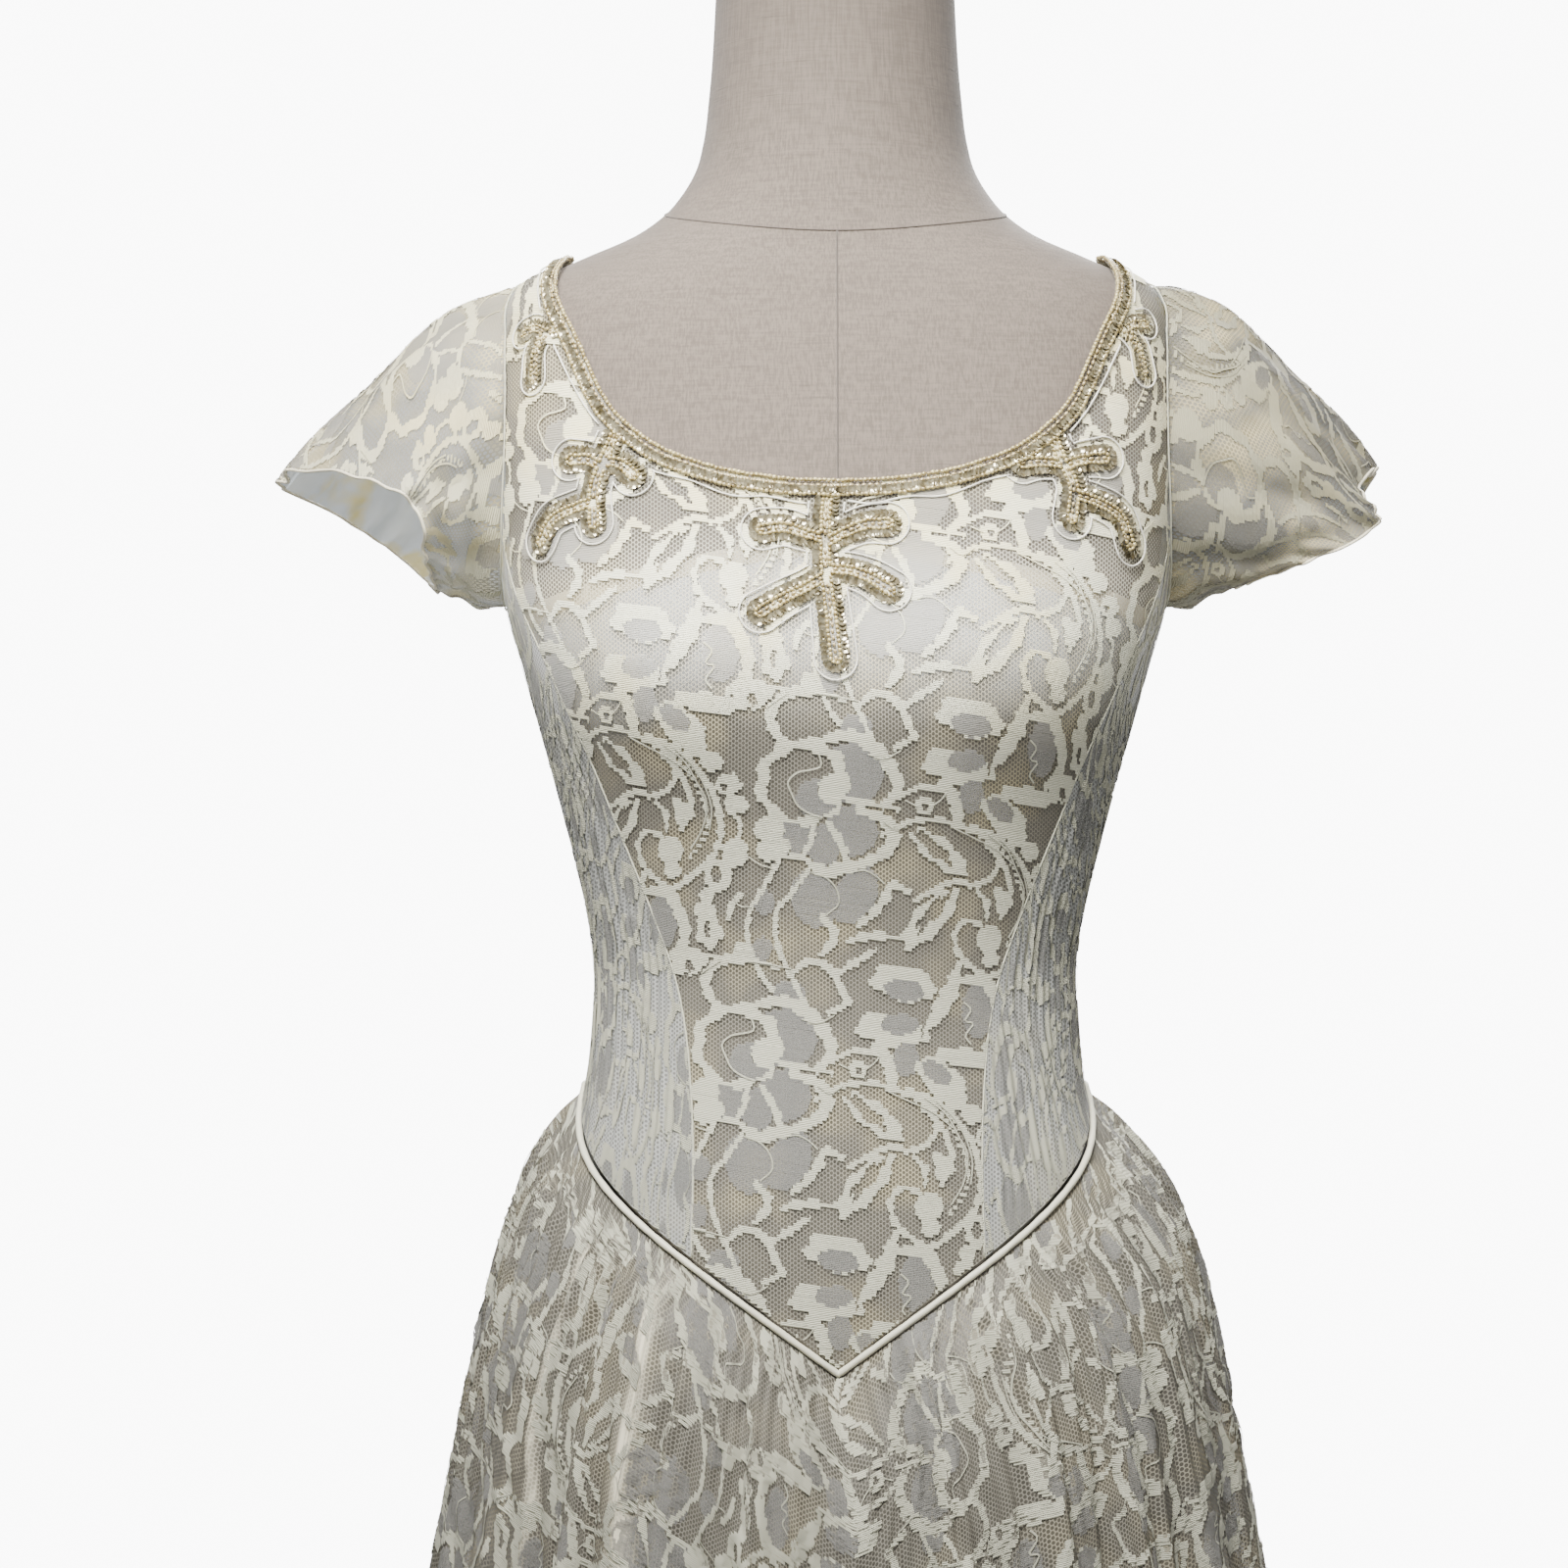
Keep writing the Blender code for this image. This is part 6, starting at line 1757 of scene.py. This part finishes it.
def build_sprigs(settings, finishes, sprigs):
    """Each branch: a narrow loop of gold beads, a loop of sequins round it, and a thin cord set apart outside."""
    for number, (node, lines) in enumerate(sprigs.items()):
        scale = 0.78 if "shoulder" in node else 1.0
        middles = np.concatenate([path for path, _, _ in lines])
        owner = np.concatenate([np.full(len(path), k) for k, (path, _, _) in enumerate(lines)])
        parts = {"gold": [], "olive": [], "sequin": [], "cord": []}
        for k, (path, along, out) in enumerate(lines):

            def clear(points, reach, k=k):
                others = middles[owner != k]
                return np.linalg.norm(points[:, None] - others[None], axis=2).min(1) > reach

            gold = settings.branch_width * 0.40 * scale
            foil = settings.branch_width * 0.86 * scale
            seed = 100 * number + 10 * k
            points, normals = loop_round(path, along, out, gold * 0.8, gold)
            inner = gold * 0.75
            parts["gold"].append(
                laid("bead", points, normals, 0.0021, 0.00110 * scale, lambda p: clear(p, inner), seed=seed)
            )
            parts["olive"].append(laid("bugle", path, out, 0.0030, 0.00085 * scale, lambda p: clear(p, inner), seed=seed))
            points, normals = loop_round(path, along, out, foil * 0.85, foil)
            parts["sequin"].append(
                laid("sequin", points, normals, 0.0021, 0.0019 * scale, lambda p: clear(p, foil * 0.8), seed=seed + 5)
            )
            wide = settings.cord_reach * scale
            outline, normals = loop_round(path, along, out, wide, wide * 1.22, 15)
            outline, normals = spaced(outline, 0.0010, False, normals)
            free = clear(outline, wide * 0.98)
            angle = np.arctan2(outline[:, 1], outline[:, 0])
            free &= neckline(angle) - outline[:, 2] > settings.band_width * 1.2
            runs = np.split(np.arange(len(free)), np.flatnonzero(np.diff(free.astype(int))) + 1)
            for run in runs:
                if free[run[0]] and len(run) > 4:
                    course = outline[run] + normals[run] * 0.0010
                    parts["cord"].append(tube(course, 0.00042, 6, up=normals[run], twist=3200, ribs=0.22))
        add_beadwork(node, "bead_sprigs", parts, finishes, node)


def build_piping(settings):
    """Satin cord in the waist seam, with a sharp turn at the point in front and the twist of its bias cut."""
    angle = np.linspace(-QUARTER, 3 * QUARTER, 520, endpoint=False)
    height = waist_seam(angle)
    radius = figure_radius(angle, height) + LACE_LIFT - 0.0004
    path = np.stack([radius * np.cos(angle), radius * np.sin(angle), height], axis=-1)
    level = np.stack([np.cos(angle), np.sin(angle), 0 * angle], axis=-1)
    points, faces = tube(path, PIPING_RADIUS * 1.08, 10, True, level, 420, 0.05)
    piece = add_piece("waist_piping_cord", points, faces, cord_finish("piping_satin_cloth", (0.66, 0.64, 0.50), 0.45))
    replace(piece, "piping_satin", "waist_piping")


def build_buttons(settings):
    """Domed buttons down the back, each under a skin of satin that gathers a little at its edge."""
    cover = cord_finish("button_satin_cloth", (0.80, 0.76, 0.64), 0.38)
    profile = np.array([(0.0, 1.0), (0.35, 0.95), (0.68, 0.74), (0.92, 0.42), (1.0, 0.12), (0.86, 0.0), (0.0, 0.0)])
    turns = np.linspace(0, 2 * HALF_TURN, 29)
    for number in range(9):
        height = 1.380 - number * 0.042
        normal = skin_normal(np.array(QUARTER), np.array(height))
        middle = over_skin(np.array(QUARTER - 0.006), np.array(height), np.array(LACE_LIFT - 0.0004))
        middle[0] = 0.0
        side = np.array([1.0, 0.0, 0.0])
        up = np.cross(normal, side)
        folds = 1 + 0.02 * np.cos(14 * turns + number)
        ring = np.cos(turns)[:, None] * side + np.sin(turns)[:, None] * up
        reach = (profile[:, :1] * folds[None])[..., None] * 0.0055
        points = middle + ring[None] * reach + normal * profile[:, 1][:, None, None] * 0.0042
        uv = np.stack(np.broadcast_arrays(turns[None], profile[:, 1:]), axis=-1)
        faces = grid_faces(len(profile), len(turns), flip=False)
        piece = merged(add_piece(f"satin_button_{number + 1}", points, faces, cover, uv), 1e-5)
        replace(piece, "button_satin", f"button_{number + 1}")


def build_seams(settings):
    """Narrow turned seams of the bodice and sleeves, each a soft ridge of doubled lace."""
    ridge = cord_finish("seam_of_lace", tuple(k * 0.62 for k in settings.thread), 0.8)
    paths = []
    for hand in (1, -1):
        for edge in (princess_edge(90), line((0.0, WAIST_SIDE + PIPING_ROOM), (0.0, UNDERARM_HEIGHT), 70)):
            angle, height = edge[:, 0], edge[:, 1]
            angle = angle if hand > 0 else -HALF_TURN - angle
            paths.append((over_skin(angle, height, lace_lift(height) - NET_SINK), False, skin_normal(angle, height)))
        arm = armhole(np.linspace(0, ARMHOLE_STATIONS, 140, endpoint=False))
        angle = arm[:, 0] if hand > 0 else -HALF_TURN - arm[:, 0]
        paths.append((over_skin(angle, arm[:, 1], lace_lift(arm[:, 1])), True, skin_normal(angle, arm[:, 1])))
        tall = np.linspace(SHOULDER_HEIGHT, 1.4304, 20)
        angle = np.full(20, 0.0 if hand > 0 else -HALF_TURN)
        paths.append((over_skin(angle, tall, lace_lift(tall) - NET_SINK), False, skin_normal(angle, tall)))
    tall = np.linspace(WAIST_SIDE - WAIST_BACK_DROP + PIPING_ROOM, 1.392, 120)
    angle = np.full(120, QUARTER)
    paths.append((over_skin(angle, tall, lace_lift(tall) - NET_SINK), False, skin_normal(angle, tall)))
    parts = [tube(path, 0.00045, 6, closed, out, 900, 0.25) for path, closed, out in paths]
    points, faces = joined(parts)
    replace(add_piece("bodice_seams", points, faces, ridge), "bodice_lace")
    share = np.linspace(-0.5, 0.5, 900, endpoint=False)
    drop = waist_seam(gathered_angle(share)) - HEM_HEIGHT
    points, faces = tube(skirt_point(share, drop), 0.0010, 6, closed=True)
    replace(add_piece("skirt_hem", points, faces, ridge), "skirt_lace")


def build_stage(settings):
    """Pale floor, white surroundings, soft lights and the photograph's camera."""
    for name in ("stand_base", "stand_pole"):
        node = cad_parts[name]
        node.data.materials.clear()
        node.data.materials.append(bpy.data.materials.get("stand_enamel") or enamel_finish())
    turns = np.linspace(0, 2 * HALF_TURN, 49)
    reach = np.array([0.0, 1.2, 2.4])[:, None]
    points = np.stack([reach * np.cos(turns), reach * np.sin(turns), 0 * reach * turns - 0.0005], axis=-1)
    mesh = bpy.data.meshes.new("studio_floor")
    faces = grid_faces(3, 49, flip=True)
    mesh.from_pydata(points.reshape(-1, 3).tolist(), [], faces.tolist())
    mesh.materials.append(floor_finish())
    floor = bpy.data.objects.new("studio_floor", mesh)
    bpy.context.scene.collection.objects.link(floor)
    merged(floor)
    world = bpy.data.worlds.new("studio")
    bpy.context.scene.world = world
    world.use_nodes = True
    back = world.node_tree.nodes["Background"]
    back.inputs[0].default_value = (1.0, 1.0, 1.0, 1.0)
    seen = world.node_tree.nodes.new("ShaderNodeLightPath")
    direct = world.node_tree.nodes.new("ShaderNodeMath")
    direct.operation = "SUBTRACT"
    direct.use_clamp = True
    strength = world.node_tree.nodes.new("ShaderNodeMapRange")
    world.node_tree.links.new(seen.outputs["Is Camera Ray"], direct.inputs[0])
    world.node_tree.links.new(seen.outputs["Transparent Depth"], direct.inputs[1])
    world.node_tree.links.new(direct.outputs[0], strength.inputs[0])
    strength.inputs[3].default_value = settings.surround
    strength.inputs[4].default_value = settings.backdrop
    world.node_tree.links.new(strength.outputs[0], back.inputs[1])
    for name, place, aim, size, power, tint, spread in LIGHTS:
        lamp = bpy.data.lights.new(name, "AREA")
        lamp.shape = "RECTANGLE"
        lamp.size, lamp.size_y = size
        lamp.energy = power * settings.light
        lamp.color = tint
        lamp.spread = math.radians(spread)
        made = bpy.data.objects.new(name, lamp)
        bpy.context.scene.collection.objects.link(made)
        made.location = place
        way = np.array(aim) - np.array(place)
        made.rotation_euler = aimed(way)
    view = bpy.data.cameras.new("photograph")
    view.sensor_width = 36.0
    view.lens = 36.0 / VIEW_WIDTH * VIEW_AWAY
    camera = bpy.data.objects.new("photograph", view)
    bpy.context.scene.collection.objects.link(camera)
    camera.location = (VIEW_ASIDE, -VIEW_AWAY, VIEW_HEIGHT)
    camera.rotation_euler = (QUARTER, 0.0, 0.0)
    bpy.context.scene.camera = camera


# Soft lights: name, place, what it is aimed at, its sides, its power and its tint.
LIGHTS = (
    ("key_light", (-0.16, -0.62, 1.90), (0.0, -0.12, 1.19), (0.55, 0.45), 14.5, (1.0, 0.985, 0.95), 85),
    ("fill_light", (1.9, -1.8, 1.6), (0.0, 0.0, 1.0), (1.6, 1.8), 6.0, (1.0, 0.98, 0.94), 180),
    ("back_light", (0.25, 1.25, 1.80), (0.0, 0.1, 1.0), (1.0, 1.0), 25.0, (1.0, 0.99, 0.96), 90),
    ("top_light", (-0.6, 0.6, 3.2), (0.0, 0.0, 1.0), (1.6, 1.6), 7.0, (1.0, 1.0, 1.0), 180),
)


def aimed(way):
    """Turn that points a light's -Z along a direction."""
    flat = math.hypot(way[0], way[1])
    return (math.atan2(flat, -way[2]), 0.0, math.atan2(way[1], way[0]) - QUARTER)


# Settings and operators.
def shade(name, text, rgb):
    return bpy.props.FloatVectorProperty(
        name=name, description=text, subtype="COLOR", size=3, min=0.0, max=1.0, default=rgb
    )


class DressSettings(bpy.types.PropertyGroup):
    """Sizes and colours that a user would change."""

    thread: shade("Thread", "Lace flowers' full rows", (0.88, 0.87, 0.67))
    half_tone: shade("Half tone", "Lace flowers' thin rows", (0.66, 0.65, 0.605))
    net: shade("Net", "Net between the flowers", (0.205, 0.192, 0.155))
    # Satin is the dull tint where the underdress falls away from the light, painted as shade; the next colour is its
    # painted sheen over the bust.
    satin: shade("Satin", "Underdress where it falls away", (0.092, 0.082, 0.064))
    satin_painted_sheen: shade("Satin over the bust", "Underdress where it catches the light", (0.56, 0.60, 0.64))
    linen: shade("Linen", "Cover of the dress form", (0.140, 0.114, 0.093))
    net_cover: bpy.props.FloatProperty(
        name="Net cover", description="Higher gives thicker net threads", default=-0.55, min=-1.5, max=3.0
    )
    band_width: bpy.props.FloatProperty(
        name="Neck band", description="Width of the beaded band", default=0.0080, min=0.004, max=0.02, unit="LENGTH"
    )
    branch_width: bpy.props.FloatProperty(
        name="Sprig branch", description="Half the width of a beaded branch", default=0.0058, min=0.003, max=0.012,
        unit="LENGTH",
    )
    cord_reach: bpy.props.FloatProperty(
        name="Cord", description="How far the cord lies from a branch", default=0.0082, min=0.004, max=0.02,
        unit="LENGTH",
    )
    surround: bpy.props.FloatProperty(name="Surround", description="Light from all round", default=0.40, min=0.0)
    backdrop: bpy.props.FloatProperty(name="Backdrop", description="Brightness behind it", default=10.0, min=0.0)
    light: bpy.props.FloatProperty(name="Lights", description="Power of the soft lights", default=0.8, min=0.0)


def step(name, label, text, *builders):
    """An operator class that runs some builders with the scene's settings."""

    def execute(self, context):
        settings = context.scene.dress
        for builder in builders:
            builder(settings)
        return {"FINISHED"}

    body = {"bl_idname": f"dress.{name}", "bl_label": label, "__doc__": text, "execute": execute}
    return type(f"DRESS_OT_{name}", (bpy.types.Operator,), body)


def build_beadwork(settings):
    finishes = bead_finishes()
    sprigs = sprig_lines()
    build_neck_band(settings, finishes, sprigs)
    build_sprigs(settings, finishes, sprigs)


STEPS = (
    step("form", "Dress form", "Linen form with its seams", build_form),
    step("satin", "Satin underdress", "Fitted satin and the satin underskirt", build_satin, build_underskirt),
    step("piping", "Waist piping", "Satin cord in the waist seam", build_piping),
    step("bodice", "Bodice lace", "Net and flowers of the five bodice panels", build_bodice_lace),
    step("skirt", "Skirt lace", "Gathered net and flowers of the skirt", build_skirt),
    step("sleeves", "Cap sleeves", "Both sleeves with their hems", build_sleeves),
    step("beadwork", "Beadwork", "Neck band and the five sprigs", build_beadwork),
    step("buttons", "Buttons", "Covered buttons down the back", build_buttons),
    step("seams", "Seams", "Seams of the bodice and the skirt's hem", build_seams),
    step("stage", "Stage", "Floor, lights and camera", build_stage),
)


class DRESS_PT_panel(bpy.types.Panel):
    """Lists the steps in the sidebar."""

    bl_label = "Dress"
    bl_space_type = "VIEW_3D"
    bl_region_type = "UI"
    bl_category = "Dress"

    def draw(self, context):
        for made in STEPS:
            self.layout.operator(made.bl_idname)


CLASSES = (DressSettings, *STEPS, DRESS_PT_panel)


def register():
    for made in CLASSES:
        bpy.utils.register_class(made)
    bpy.types.Scene.dress = bpy.props.PointerProperty(type=DressSettings)


def unregister():
    del bpy.types.Scene.dress
    for made in reversed(CLASSES):
        bpy.utils.unregister_class(made)


def main():
    register()
    for made in STEPS:
        getattr(bpy.ops.dress, made.bl_idname.split(".")[1])()


if __name__ == "__main__":
    main()
